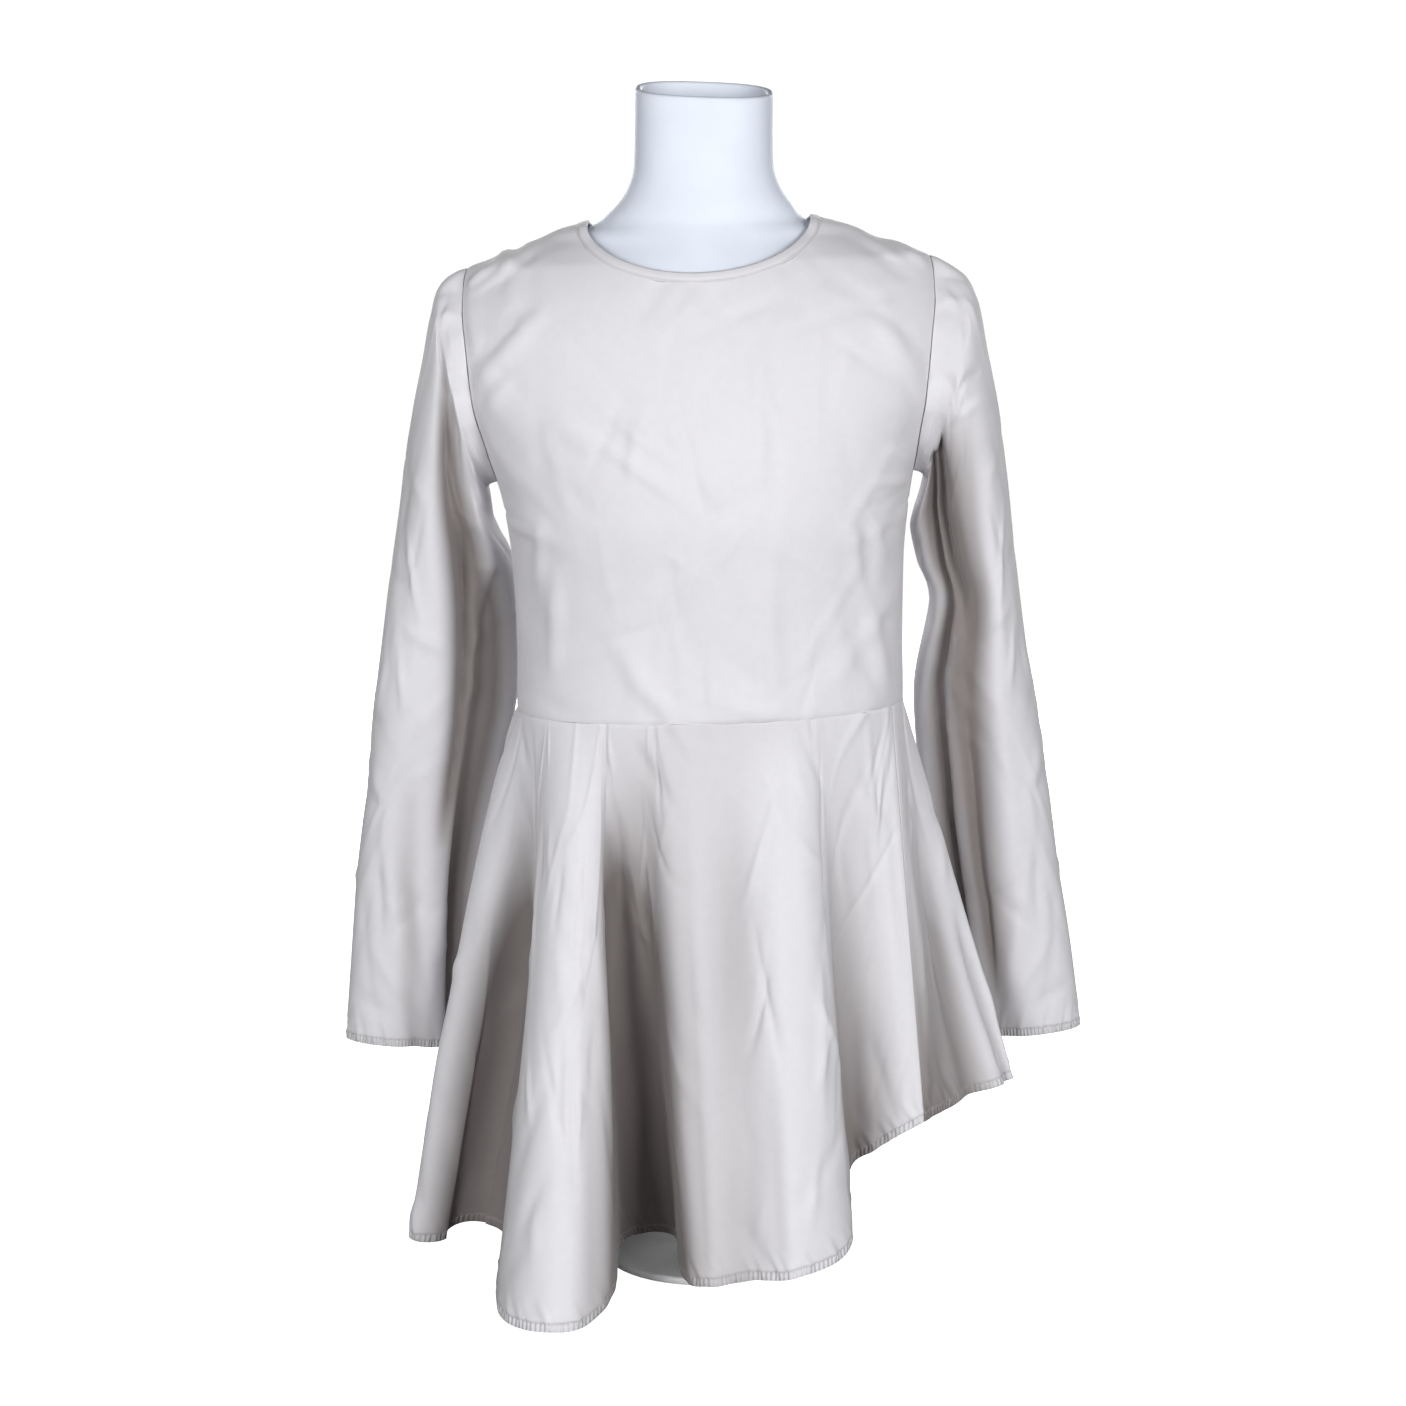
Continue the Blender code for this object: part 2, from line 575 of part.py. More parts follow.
def build_skirt(collection, cloth):
    """Front and back of the flared part, sewn at the sides."""
    front = skirt_grid(SKIRT_SEAM_RIGHT, SKIRT_SEAM_LEFT, SKIRT_FRONT_COLUMNS, SKIRT_ROWS)
    back = skirt_grid(SKIRT_SEAM_LEFT, SKIRT_SEAM_RIGHT + 360.0, SKIRT_BACK_COLUMNS, SKIRT_ROWS)
    for name, grid in (("skirt_front", front), ("skirt_back", back)):
        cloth_object(name, part_seams(grid), collection, cloth, flip=True, outwards=False)


def form_ring(z, shrink=0.0):
    """One closed section of the form at height z, drawn in by shrink."""
    turns = np.linspace(0.0, 2 * math.pi, FORM_ROUND, endpoint=False)
    half, front, back, power = section(np.full_like(turns, z), cloth=False)
    swing, ahead = np.sin(turns), np.cos(turns)
    x = (half - shrink) * np.sign(swing) * np.abs(swing) ** (2 / power)
    depth = np.where(ahead > 0.0, front, back) - shrink
    y = -depth * np.sign(ahead) * np.abs(ahead) ** (2 / power)
    drop = FORM_DROP * smoothstep(z, *FORM_DROP_RISE) * (1.0 - smoothstep(z, *FORM_DROP_FALL))
    slant = (RIM_SLANT * y + RIM_TILT * x) * smoothstep(z, RIM_SLANT_FROM_Z, NECK_TOP_Z)
    return np.stack([x, y, z - drop + slant], -1)


def build_form_torso(collection, plastic):
    """Smooth body from a rounded bottom to a slanted, open neck with a well in it."""
    table = column(BODY, BODY_COLUMNS, "z")
    rings = [form_ring(z) for z in (*table[table < NECK_TOP_Z], NECK_TOP_Z)]
    well = (NECK_TOP_Z, NECK_TOP_Z - NECK_WELL_DEPTH / 2, NECK_TOP_Z - NECK_WELL_DEPTH)
    inside = form_ring(NECK_TOP_Z, NECK_WALL)
    rings += [inside + np.array([0.0, 0.0, z - NECK_TOP_Z]) for z in well]
    grid = stance(np.array(rings))
    rows = len(grid)
    faces = grid_faces(rows, FORM_ROUND, True, False)
    faces.append(tuple(reversed(range(FORM_ROUND))))
    faces.append(tuple(range((rows - 1) * FORM_ROUND, rows * FORM_ROUND)))
    mesh = bpy.data.meshes.new("form_torso")
    mesh.from_pydata(grid.reshape(-1, 3).tolist(), [], faces)
    mesh.shade_smooth()
    add_object("form_torso", mesh, collection, plastic)
    return stance(form_ring(table[0]))


def cylinder(name, radius, low, high, collection, finish, segments):
    """An upright cylinder on the origin's axis."""
    mesh = bpy.data.meshes.new(name)
    shape = bmesh.new()
    bmesh.ops.create_cone(shape, cap_ends=True, segments=segments, radius1=radius,
                          radius2=radius, depth=high - low,
                          matrix=Matrix.Translation((0.0, 0.0, (low + high) / 2)))
    shape.to_mesh(mesh)
    shape.free()
    mesh.shade_smooth()
    mesh.set_sharp_from_angle(angle=math.radians(40))
    return add_object(name, mesh, collection, finish)


def build_stand(collection, plastic, metal, torso_bottom):
    """Pole under the form, on a thin round base."""
    lowest = torso_bottom[..., 2].min()
    cylinder("form_pole", POLE_RADIUS, BASE_HEIGHT + SEAM, lowest - SEAM, collection, metal, 24)
    base = cylinder("form_base", BASE_RADIUS, 0.0, BASE_HEIGHT, collection, plastic, 48)
    rounding = base.modifiers.new("rounding", "BEVEL")
    rounding.width = BASE_ROUND
    rounding.segments = 2
    rounding.limit_method = "ANGLE"


def button_frame():
    """Place and axes of the button: on the binding beside the slit, facing backwards."""
    x = np.array(BUTTON_X)
    z = (neck_edge(x, 0.0, NECK_BACK_DROP) + neck_edge(x, BINDING_WIDTH, NECK_BACK_DROP)) / 2
    y = surface_y(x, z, 1)
    normal = outward(x, y, z, 1)
    seat = np.array([x, y, z]) + (BINDING_CLOTH + SEAM) * normal
    facing = Vector(normal)
    across = Vector((1.0, 0.0, 0.0))
    across = (across - across.dot(facing) * facing).normalized()
    upright = facing.cross(across)
    turned = Matrix((across, upright, facing)).transposed().to_4x4()
    return Matrix.Translation(Vector(stance(seat[None])[0])) @ turned


def build_button(collection, pearl, place):
    """Turned button with a short shank, its outline running down its outer side."""
    outline = [(BUTTON_RADIUS * out, SHANK_HEIGHT + BUTTON_THICK * up)
               for out, up in BUTTON_OUTLINE]
    outline += [(SHANK_RADIUS, SHANK_HEIGHT), (SHANK_RADIUS, 0.0), (0.0, 0.0)]
    mesh = bpy.data.meshes.new("back_button")
    edges = [(i, i + 1) for i in range(len(outline) - 1)]
    mesh.from_pydata([(r, 0.0, z) for r, z in outline], edges, [])
    button = add_object("back_button", mesh, collection, pearl)
    turn = button.modifiers.new("turn", "SCREW")
    turn.steps = turn.render_steps = 20
    turn.use_merge_vertices = True
    turn.merge_threshold = 0.00005
    turn.use_smooth_shade = True
    button.matrix_world = place


def build_loop(collection, cloth, place):
    """Thread loop from the other side of the slit round the button's shank."""
    bend = [(LOOP_RADIUS * math.sin(t), LOOP_RADIUS * math.cos(t))
            for t in np.linspace(0.0, math.pi, 9)]
    route = [(-LOOP_LEG, LOOP_RADIUS)] + bend + [(-LOOP_LEG, -LOOP_RADIUS)]
    curve = bpy.data.curves.new("button_loop", "CURVE")
    curve.dimensions = "3D"
    curve.bevel_depth = LOOP_THREAD
    curve.bevel_resolution = 2
    curve.use_fill_caps = True
    line = curve.splines.new("POLY")
    line.points.add(len(route) - 1)
    for point, (across, upright) in zip(line.points, route):
        point.co = (across, upright, LOOP_THREAD, 1.0)
    loop = bpy.data.objects.new("button_loop", curve)
    collection.objects.link(loop)
    curve.materials.append(cloth)
    loop.matrix_world = place


def main():
    """Clear the scene and build every piece."""
    for old in list(bpy.data.objects):
        bpy.data.objects.remove(old, do_unlink=True)
    collection = bpy.data.collections.new("blouse_on_form")
    bpy.context.scene.collection.children.link(collection)

    cloth = material("stone_cloth", (0.66, 0.645, 0.64), 0.55, sheen=0.3)
    plastic = material("white_plastic", (0.80, 0.84, 0.90), 0.40)
    metal = material("pole_white", (0.75, 0.75, 0.77), 0.35)
    pearl = material("button_plastic", (0.62, 0.60, 0.59), 0.25)

    torso_bottom = build_form_torso(collection, plastic)
    build_stand(collection, plastic, metal, torso_bottom)
    front_edge, back_edge = build_bodice(collection, cloth)
    build_binding(collection, cloth, front_edge, back_edge)
    build_sleeves(collection, cloth)
    build_skirt(collection, cloth)
    place = button_frame()
    build_button(collection, pearl, place)
    build_loop(collection, cloth, place)


main()
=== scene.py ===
"""Looks of a long-sleeved blouse with a flared, slanting skirt part, on a limbless display form.

Metres, +Z up, front towards -Y, +X at the wearer's left. Every cloth piece is the surface of its
solid worked out on a finer grid, with its creases pressed into it.
"""

import math

import bpy
import numpy as np
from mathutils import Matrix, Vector


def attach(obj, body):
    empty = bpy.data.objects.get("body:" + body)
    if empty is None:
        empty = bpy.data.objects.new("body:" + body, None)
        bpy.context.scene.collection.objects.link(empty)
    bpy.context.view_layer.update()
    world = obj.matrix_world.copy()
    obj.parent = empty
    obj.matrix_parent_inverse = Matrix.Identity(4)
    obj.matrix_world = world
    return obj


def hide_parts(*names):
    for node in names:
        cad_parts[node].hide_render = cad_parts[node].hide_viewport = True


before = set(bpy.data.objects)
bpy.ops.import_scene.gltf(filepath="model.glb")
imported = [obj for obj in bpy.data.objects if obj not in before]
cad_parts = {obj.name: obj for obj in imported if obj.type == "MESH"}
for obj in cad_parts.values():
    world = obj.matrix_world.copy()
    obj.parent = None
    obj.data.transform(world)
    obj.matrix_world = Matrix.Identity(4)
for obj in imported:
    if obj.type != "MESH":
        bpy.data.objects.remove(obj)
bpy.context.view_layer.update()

CLOTH = 0.0015
BINDING_CLOTH = 0.0018
SEAM = 0.00006
NECK_SEAM = 0.0003
ARMHOLE_SEAM = (0.0003, 0.0, 0.0001)

WAIST_Z = 0.449
UNDERARM_Z = 0.625
SHOULDER_TIP_Z = 0.786
SHOULDER_TIP_X = 0.175
SHOULDER_LINE_TOP_Z = 0.825

NECK_HALF = 0.084
NECK_FRONT_DROP = 0.040
NECK_BACK_DROP = 0.014
BINDING_WIDTH = 0.007
BINDING_DROP_SHARE = 0.7
SLIT_LENGTH = 0.110
SLIT_WIDTH = 0.0008

DART_Z = 0.603
DART_LENGTH = 0.030
DART_DEPTH = 0.0010
DART_SPREAD = 0.0020
DART_FULL_SHARE = 0.3
DART_TURN_IN = 0.25

SLOPE = 0.028
SLOPE_FROM_Z = 0.30
SLOPE_FULL_Z = 0.43

RIM_SLANT = 0.155
RIM_TILT = -0.060
RIM_SLANT_FROM_Z = 0.865
NECK_WALL = 0.006
NECK_WELL_DEPTH = 0.080
NECK_TOP_Z = 0.9155
FORM_DROP = 0.0030
FORM_DROP_RISE = (0.700, 0.775)
FORM_DROP_FALL = (0.815, 0.845)


def columns_of(names, rows):
    """A table's columns as arrays, by name."""
    return dict(zip(names.split(), np.array(rows).T))


# Level sections of the cloth's inner face, and how far the form keeps inside it at the side,
# front and back.
BODY = columns_of("z half front back power in_side in_front in_back", (
    (0.3350, 0.0500, 0.0360, 0.0340, 2.00, 0.0000, 0.0000, 0.0000),
    (0.3450, 0.0820, 0.0600, 0.0550, 2.00, 0.0000, 0.0000, 0.0000),
    (0.3650, 0.1080, 0.0790, 0.0710, 2.10, 0.0000, 0.0000, 0.0000),
    (0.3950, 0.1460, 0.1010, 0.0890, 2.20, 0.0250, 0.0120, 0.0100),
    (0.4490, 0.1486, 0.1050, 0.0880, 2.30, 0.0250, 0.0120, 0.0100),
    (0.5000, 0.1478, 0.1080, 0.0940, 2.30, 0.0168, 0.0080, 0.0070),
    (0.5570, 0.1490, 0.1171, 0.0990, 2.30, 0.0080, 0.0040, 0.0045),
    (0.6020, 0.1536, 0.1241, 0.1032, 2.30, 0.0050, 0.0030, 0.0040),
    (0.6250, 0.1580, 0.1240, 0.1054, 2.28, 0.0045, 0.0030, 0.0035),
    (0.6570, 0.1688, 0.1200, 0.1080, 2.25, 0.0045, 0.0030, 0.0035),
    (0.6900, 0.1838, 0.1119, 0.1079, 2.20, 0.0045, 0.0030, 0.0035),
    (0.7320, 0.1894, 0.0981, 0.1017, 2.10, 0.0040, 0.0025, 0.0030),
    (0.7570, 0.1863, 0.0875, 0.0939, 1.95, 0.0030, 0.0018, 0.0025),
    (0.7750, 0.1808, 0.0789, 0.0865, 1.75, 0.0022, 0.0014, 0.0020),
    (0.7860, 0.1750, 0.0729, 0.0809, 1.60, 0.0022, 0.0018, 0.0024),
    (0.7920, 0.1590, 0.0697, 0.0779, 1.52, 0.0022, 0.0020, 0.0024),
    (0.7975, 0.1415, 0.0667, 0.0749, 1.48, 0.0022, 0.0022, 0.0024),
    (0.8035, 0.1240, 0.0637, 0.0719, 1.45, 0.0024, 0.0024, 0.0026),
    (0.8135, 0.1050, 0.0587, 0.0672, 1.50, 0.0024, 0.0024, 0.0026),
    (0.8190, 0.0840, 0.0563, 0.0645, 1.60, 0.0020, 0.0022, 0.0024),
    (0.8290, 0.0712, 0.0537, 0.0607, 1.85, 0.0014, 0.0014, 0.0014),
    (0.8440, 0.0592, 0.0512, 0.0562, 2.10, 0.0010, 0.0010, 0.0010),
    (0.8600, 0.0542, 0.0502, 0.0532, 2.35, 0.0007, 0.0007, 0.0007),
    (0.8900, 0.0535, 0.0497, 0.0517, 2.60, 0.0007, 0.0007, 0.0007),
    (0.9300, 0.0537, 0.0497, 0.0517, 2.60, 0.0007, 0.0007, 0.0007),
))

# Half width of the bodice panels along the armhole, between underarm and shoulder tip.
ARMHOLE = columns_of("z half", (
    (0.6250, 0.1580),
    (0.6400, 0.1605),
    (0.6570, 0.1633),
    (0.6800, 0.1680),
    (0.7320, 0.1740),
    (0.7570, 0.1768),
    (0.7750, 0.1766),
    (0.7860, 0.1750),
))

# How far the clothed body leans sideways at each height.
LEAN = columns_of("z shift", (
    (0.300, 0.0),
    (0.449, 0.0055),
    (0.600, 0.0030),
    (0.700, -0.0030),
    (0.810, -0.0035),
    (0.835, 0.0),
    (0.930, 0.0010),
))

# Sleeve sections from armhole to cuff: outermost point, innermost point and half depth.
SLEEVE_COLUMNS = "outer_x outer_z inner_x inner_z outer_y inner_y depth"
SLEEVES = {
    "sleeve_right": columns_of(SLEEVE_COLUMNS, (
        (0.1755, 0.7875, 0.1600, 0.6255, 0.000, 0.000, 0.0500),
        (0.1900, 0.7815, 0.1650, 0.6245, 0.002, 0.002, 0.0530),
        (0.1990, 0.7715, 0.1690, 0.6210, 0.004, 0.004, 0.0560),
        (0.2050, 0.7527, 0.1675, 0.6140, 0.006, 0.008, 0.0590),
        (0.2120, 0.7185, 0.1670, 0.6050, 0.009, 0.013, 0.0610),
        (0.2218, 0.6780, 0.1665, 0.5950, 0.013, 0.020, 0.0620),
        (0.2325, 0.6350, 0.1625, 0.5830, 0.016, 0.030, 0.0615),
        (0.2434, 0.5790, 0.1540, 0.5600, 0.018, 0.046, 0.0590),
        (0.2530, 0.5260, 0.1510, 0.5150, 0.020, 0.054, 0.0550),
        (0.2640, 0.4530, 0.1530, 0.4550, 0.024, 0.058, 0.0510),
        (0.2735, 0.3550, 0.1690, 0.3600, 0.040, 0.060, 0.0440),
        (0.2835, 0.2550, 0.1800, 0.2550, 0.055, 0.060, 0.0350),
        (0.2925, 0.1600, 0.1860, 0.1560, 0.064, 0.064, 0.0280),
    )),
    "sleeve_left": columns_of(SLEEVE_COLUMNS, (
        (0.1755, 0.7875, 0.1600, 0.6255, 0.000, 0.000, 0.0500),
        (0.1920, 0.7795, 0.1650, 0.6245, 0.002, 0.002, 0.0530),
        (0.2050, 0.7690, 0.1690, 0.6200, 0.004, 0.004, 0.0560),
        (0.2135, 0.7520, 0.1675, 0.6120, 0.006, 0.006, 0.0590),
        (0.2205, 0.7180, 0.1640, 0.6010, 0.009, 0.009, 0.0610),
        (0.2285, 0.6780, 0.1595, 0.5890, 0.013, 0.013, 0.0620),
        (0.2325, 0.6300, 0.1580, 0.5760, 0.018, 0.018, 0.0615),
        (0.2380, 0.5700, 0.1635, 0.5500, 0.023, 0.023, 0.0600),
        (0.2435, 0.5250, 0.1730, 0.5180, 0.027, 0.028, 0.0580),
        (0.2550, 0.4500, 0.1615, 0.4480, 0.033, 0.038, 0.0530),
        (0.2765, 0.3520, 0.1725, 0.3560, 0.044, 0.050, 0.0440),
        (0.2960, 0.2550, 0.1910, 0.2550, 0.056, 0.060, 0.0350),
        (0.3090, 0.1710, 0.2030, 0.1630, 0.064, 0.064, 0.0280),
    )),
}

# Folds along a sleeve: turn at start and end, place along it there (0 armhole, 1 cuff), depth
# and spread. A positive depth is a trough. Turn 0 is the outer edge, 90 the front, 180 the
# inner edge and 270 the back.
SLEEVE_FOLDS = {
    "sleeve_right": (
        (84.0, 124.0, 0.15, 0.90, 0.0130, 20.0),
        (138.0, 148.0, 0.30, 0.66, -0.0060, 14.0),
        (255.0, 240.0, 0.20, 0.80, 0.0070, 24.0),
    ),
    "sleeve_left": (
        (130.0, 120.0, 0.20, 0.70, 0.0190, 11.0),
        (84.0, 100.0, 0.30, 0.95, 0.0060, 20.0),
        (270.0, 250.0, 0.20, 0.80, 0.0070, 24.0),
    ),
}

# Skirt crests and valleys. Turn is the place on the waist: 0 front, 90 wearer's left, -90 right.
# x, y and z are the hem point below it; a start over 1 hangs straight down first.
HEM = columns_of("turn x y z start", (
    (-90.0, -0.2370, -0.005, 0.0145, 0.80),
    (-78.0, -0.2130, -0.034, 0.0160, 1.00),
    (-69.0, -0.1800, -0.034, 0.0250, 1.30),
    (-60.0, -0.1610, -0.052, 0.0240, 1.45),
    (-52.0, -0.1545, -0.154, 0.0090, 1.20),
    (-43.0, -0.1150, -0.198, 0.0100, 1.05),
    (-36.0, -0.0830, -0.184, 0.0125, 1.05),
    (-31.0, -0.0660, -0.146, 0.0260, 1.10),
    (-27.0, -0.0640, -0.068, 0.0290, 1.35),
    (-22.0, -0.0440, -0.044, 0.0310, 1.45),
    (-17.0, -0.0190, -0.062, 0.0310, 1.40),
    (-13.0, -0.0150, -0.138, 0.0310, 1.20),
    (-6.0, 0.0040, -0.171, 0.0350, 1.10),
    (4.0, 0.0320, -0.166, 0.0380, 1.15),
    (16.0, 0.0700, -0.185, 0.0470, 1.00),
    (27.0, 0.1110, -0.149, 0.0580, 1.10),
    (37.0, 0.1130, -0.084, 0.0930, 2.00),
    (49.0, 0.1330, -0.084, 0.1120, 1.50),
    (66.0, 0.1700, -0.092, 0.1370, 1.00),
    (80.0, 0.2000, -0.052, 0.1400, 1.25),
    (94.0, 0.2465, -0.012, 0.1480, 1.00),
    (103.0, 0.2120, 0.006, 0.1440, 1.00),
    (113.0, 0.1660, 0.032, 0.1360, 1.00),
    (128.0, 0.1560, 0.098, 0.1240, 1.00),
    (140.0, 0.1180, 0.104, 0.1080, 1.60),
    (157.0, 0.0920, 0.172, 0.0880, 1.00),
    (176.0, 0.0240, 0.108, 0.0700, 1.80),
    (197.0, -0.0500, 0.182, 0.0480, 1.00),
    (218.0, -0.0980, 0.108, 0.0340, 1.80),
    (238.0, -0.1750, 0.135, 0.0220, 0.95),
    (254.0, -0.1960, 0.070, 0.0240, 1.20),
))
SKIRT_SEAM_RIGHT = -95.0
SKIRT_SEAM_LEFT = 66.0
SEAM_STEP = 0.6
SIDE_SEAM_SHARE = 0.6

# How the points are spread: powers over 1 crowd the rows towards the shoulder or the armhole.
CORNER_TURN = 85.0
BODICE_CROWDING = 1.8
DART_ROW_ROOM = 0.004
SLEEVE_CROWDING = 1.15
ARMHOLE_EASE = 0.30
FOLD_FADE = 0.7
BODICE_SIDE_COLUMNS, FRONT_NECK_COLUMNS, BACK_NECK_COLUMNS, BODICE_ROWS = 30, 100, 90, 150
SKIRT_FRONT_COLUMNS, SKIRT_BACK_COLUMNS, SKIRT_ROWS = 380, 340, 120
SLEEVE_ROUND, SLEEVE_ROWS = 160, 220
FORM_ROUND = 120

# Creases of the bodice by their ends (x, z, then x, z), height and spread.
FRONT_CREASES = (
    (-0.113, 0.808, -0.158, 0.774, 0.0012, 0.0050),
    (-0.122, 0.797, -0.160, 0.766, -0.0010, 0.0045),
    (-0.141, 0.798, -0.162, 0.780, 0.0009, 0.0035),
    (-0.158, 0.786, -0.174, 0.772, 0.0010, 0.0032),
    (-0.112, 0.758, -0.170, 0.694, 0.0011, 0.0065),
    (-0.128, 0.760, -0.172, 0.712, -0.0009, 0.0060),
    (-0.136, 0.710, -0.160, 0.678, 0.0008, 0.0055),
    (0.108, 0.812, 0.152, 0.782, 0.0012, 0.0048),
    (0.122, 0.800, 0.160, 0.768, -0.0009, 0.0048),
    (0.134, 0.806, 0.173, 0.779, 0.0010, 0.0040),
    (0.128, 0.745, 0.168, 0.690, 0.0009, 0.0080),
    (-0.121, 0.606, -0.127, 0.552, 0.0009, 0.0045),
    (-0.111, 0.566, -0.118, 0.474, 0.0010, 0.0055),
    (-0.134, 0.560, -0.136, 0.480, -0.0008, 0.0060),
    (0.104, 0.596, 0.117, 0.536, 0.0011, 0.0050),
    (0.115, 0.544, 0.134, 0.458, 0.0013, 0.0058),
    (0.119, 0.602, 0.133, 0.562, 0.0009, 0.0042),
    (0.098, 0.560, 0.116, 0.470, -0.0007, 0.0070),
    (-0.032, 0.580, -0.015, 0.568, 0.0004, 0.0030),
    (-0.024, 0.782, 0.005, 0.738, 0.0004, 0.0060),
    (0.022, 0.576, 0.043, 0.460, 0.0005, 0.0080),
    (-0.060, 0.540, -0.052, 0.455, 0.0004, 0.0080),
    (-0.0216, 0.745, -0.0216, 0.449, 0.00012, 0.0012),
    (-0.154, 0.598, -0.122, 0.590, 0.0009, 0.0035),
    (0.151, 0.620, 0.122, 0.624, 0.0010, 0.0032),
    (0.150, 0.612, 0.124, 0.606, -0.0007, 0.0032),
)
BACK_CREASES = (
    (-0.105, 0.802, -0.158, 0.752, 0.0011, 0.0060),
    (0.108, 0.804, 0.160, 0.758, 0.0010, 0.0055),
    (-0.132, 0.765, -0.170, 0.700, -0.0009, 0.0070),
    (0.126, 0.760, 0.168, 0.690, -0.0009, 0.0075),
    (-0.118, 0.640, -0.104, 0.520, 0.0010, 0.0080),
    (0.122, 0.650, 0.098, 0.500, 0.0011, 0.0085),
    (-0.060, 0.560, -0.070, 0.455, 0.0010, 0.0080),
    (0.050, 0.570, 0.064, 0.452, 0.0009, 0.0090),
    (-0.020, 0.520, -0.012, 0.452, 0.0007, 0.0070),
    (-0.110, 0.530, -0.125, 0.455, -0.0009, 0.0070),
    (0.112, 0.525, 0.128, 0.456, -0.0009, 0.0065),
    (0.010, 0.700, 0.030, 0.640, 0.0006, 0.0090),
)

# Finer folds of the sleeves and the skirt, in the columns of SLEEVE_FOLDS.
SLEEVE_CREASES = {
    "sleeve_right": (
        (38.0, 66.0, 0.06, 0.24, 0.0016, 7.0),
        (62.0, 84.0, 0.10, 0.34, -0.0014, 7.0),
        (118.0, 150.0, 0.14, 0.40, -0.0020, 8.0),
        (62.0, 102.0, 0.08, 0.66, 0.0060, 9.0),
        (106.0, 112.0, 0.50, 0.86, 0.0130, 10.0),
        (132.0, 136.0, 0.36, 0.68, -0.0030, 6.0),
        (138.0, 140.0, 0.10, 1.15, 0.0070, 24.0),
        (138.0, 148.0, 0.60, 1.08, 0.0170, 14.0),
        (70.0, 116.0, 0.80, 1.14, 0.0050, 10.0),
        (60.0, 96.0, 0.46, 0.80, -0.0016, 12.0),
        (20.0, 52.0, 0.40, 0.72, 0.0012, 9.0),
        (104.0, 128.0, 0.62, 0.90, -0.0018, 9.0),
        (52.0, 96.0, 0.84, 0.97, -0.0012, 7.0),
        (70.0, 112.0, 0.86, 0.985, 0.0013, 6.0),
        (30.0, 58.0, 0.88, 0.98, 0.0008, 6.0),
        (300.0, 262.0, 0.20, 0.55, 0.0020, 9.0),
        (280.0, 250.0, 0.45, 0.82, -0.0020, 11.0),
        (325.0, 300.0, 0.50, 0.92, 0.0012, 9.0),
    ),
    "sleeve_left": (
        (40.0, 62.0, 0.05, 0.22, 0.0015, 7.0),
        (84.0, 46.0, 0.255, 0.335, 0.0022, 6.0),
        (92.0, 40.0, 0.31, 0.405, -0.0026, 6.5),
        (104.0, 84.0, 0.27, 0.345, 0.0018, 5.0),
        (148.0, 144.0, 0.14, 0.74, 0.0200, 8.0),
        (108.0, 104.0, 0.24, 1.12, 0.0070, 16.0),
        (128.0, 132.0, 0.08, 1.15, 0.0090, 26.0),
        (144.0, 150.0, 0.66, 1.08, 0.0150, 10.0),
        (106.0, 114.0, 0.76, 0.97, 0.0060, 6.0),
        (78.0, 92.0, 0.36, 0.86, 0.0016, 8.0),
        (58.0, 76.0, 0.45, 0.92, -0.0016, 10.0),
        (96.0, 70.0, 0.76, 0.82, 0.0012, 6.0),
        (60.0, 104.0, 0.86, 0.985, -0.0012, 7.0),
        (30.0, 70.0, 0.88, 0.99, 0.0010, 6.0),
        (300.0, 266.0, 0.22, 0.60, 0.0020, 9.0),
        (282.0, 252.0, 0.48, 0.85, -0.0018, 11.0),
    ),
}
SKIRT_CREASES = (
    (-20.0, -9.0, 0.015, 0.16, 0.0022, 2.2),
    (-26.5, -22.0, 0.10, 0.85, 0.0150, 3.4),
    (-31.0, -33.0, 0.30, 1.00, -0.0022, 2.0),
    (-16.0, -14.5, 0.40, 1.00, -0.0020, 1.8),
    (4.0, 3.0, 0.06, 0.75, 0.0050, 3.6),
    (28.0, 30.0, 0.08, 0.66, 0.0016, 1.2),
    (33.0, 36.0, 0.20, 0.95, 0.0030, 2.6),
    (20.0, 22.0, 0.10, 0.50, -0.0012, 3.0),
    (-46.0, -47.0, 0.25, 0.95, -0.0016, 4.0),
    (-58.0, -57.0, 0.18, 0.80, 0.0022, 3.0),
    (-68.0, -72.0, 0.40, 1.00, 0.0022, 2.8),
    (-12.0, -7.0, 0.55, 1.00, -0.0014, 2.2),
    (10.0, 12.0, 0.60, 1.00, 0.0016, 2.4),
    (60.0, 64.0, 0.15, 0.80, 0.0016, 2.6),
    (-68.0, -71.0, 0.16, 1.00, 0.0300, 7.5),
    (-79.0, -80.0, 0.30, 1.00, 0.0120, 5.0),
    (70.0, 71.0, 0.25, 0.95, -0.0022, 2.4),
    (81.0, 84.0, 0.28, 1.00, 0.0110, 2.2),
    (89.0, 91.0, 0.50, 1.00, 0.0080, 1.6),
    (120.0, 121.0, 0.20, 0.90, 0.0020, 3.4),
    (150.0, 148.0, 0.25, 1.00, -0.0018, 3.4),
    (168.0, 170.0, 0.15, 0.70, 0.0018, 3.0),
    (186.0, 187.0, 0.40, 1.00, -0.0018, 3.0),
    (208.0, 207.0, 0.20, 0.80, 0.0020, 3.2),
    (228.0, 229.0, 0.35, 1.00, -0.0018, 3.0),
    (246.0, 245.0, 0.20, 0.90, 0.0020, 3.0),
)

# Small creases of each piece: how many, and how far they lean from straight down.
RUMPLES = {"bodice": (110, 0.7), "sleeve": (130, 0.8), "skirt": (190, 0.45)}
RUMPLE_LENGTHS = (0.014, 0.055)
RUMPLE_WIDTHS = (0.0035, 0.0080)
RUMPLE_HEIGHTS = (0.0006, 0.0020)

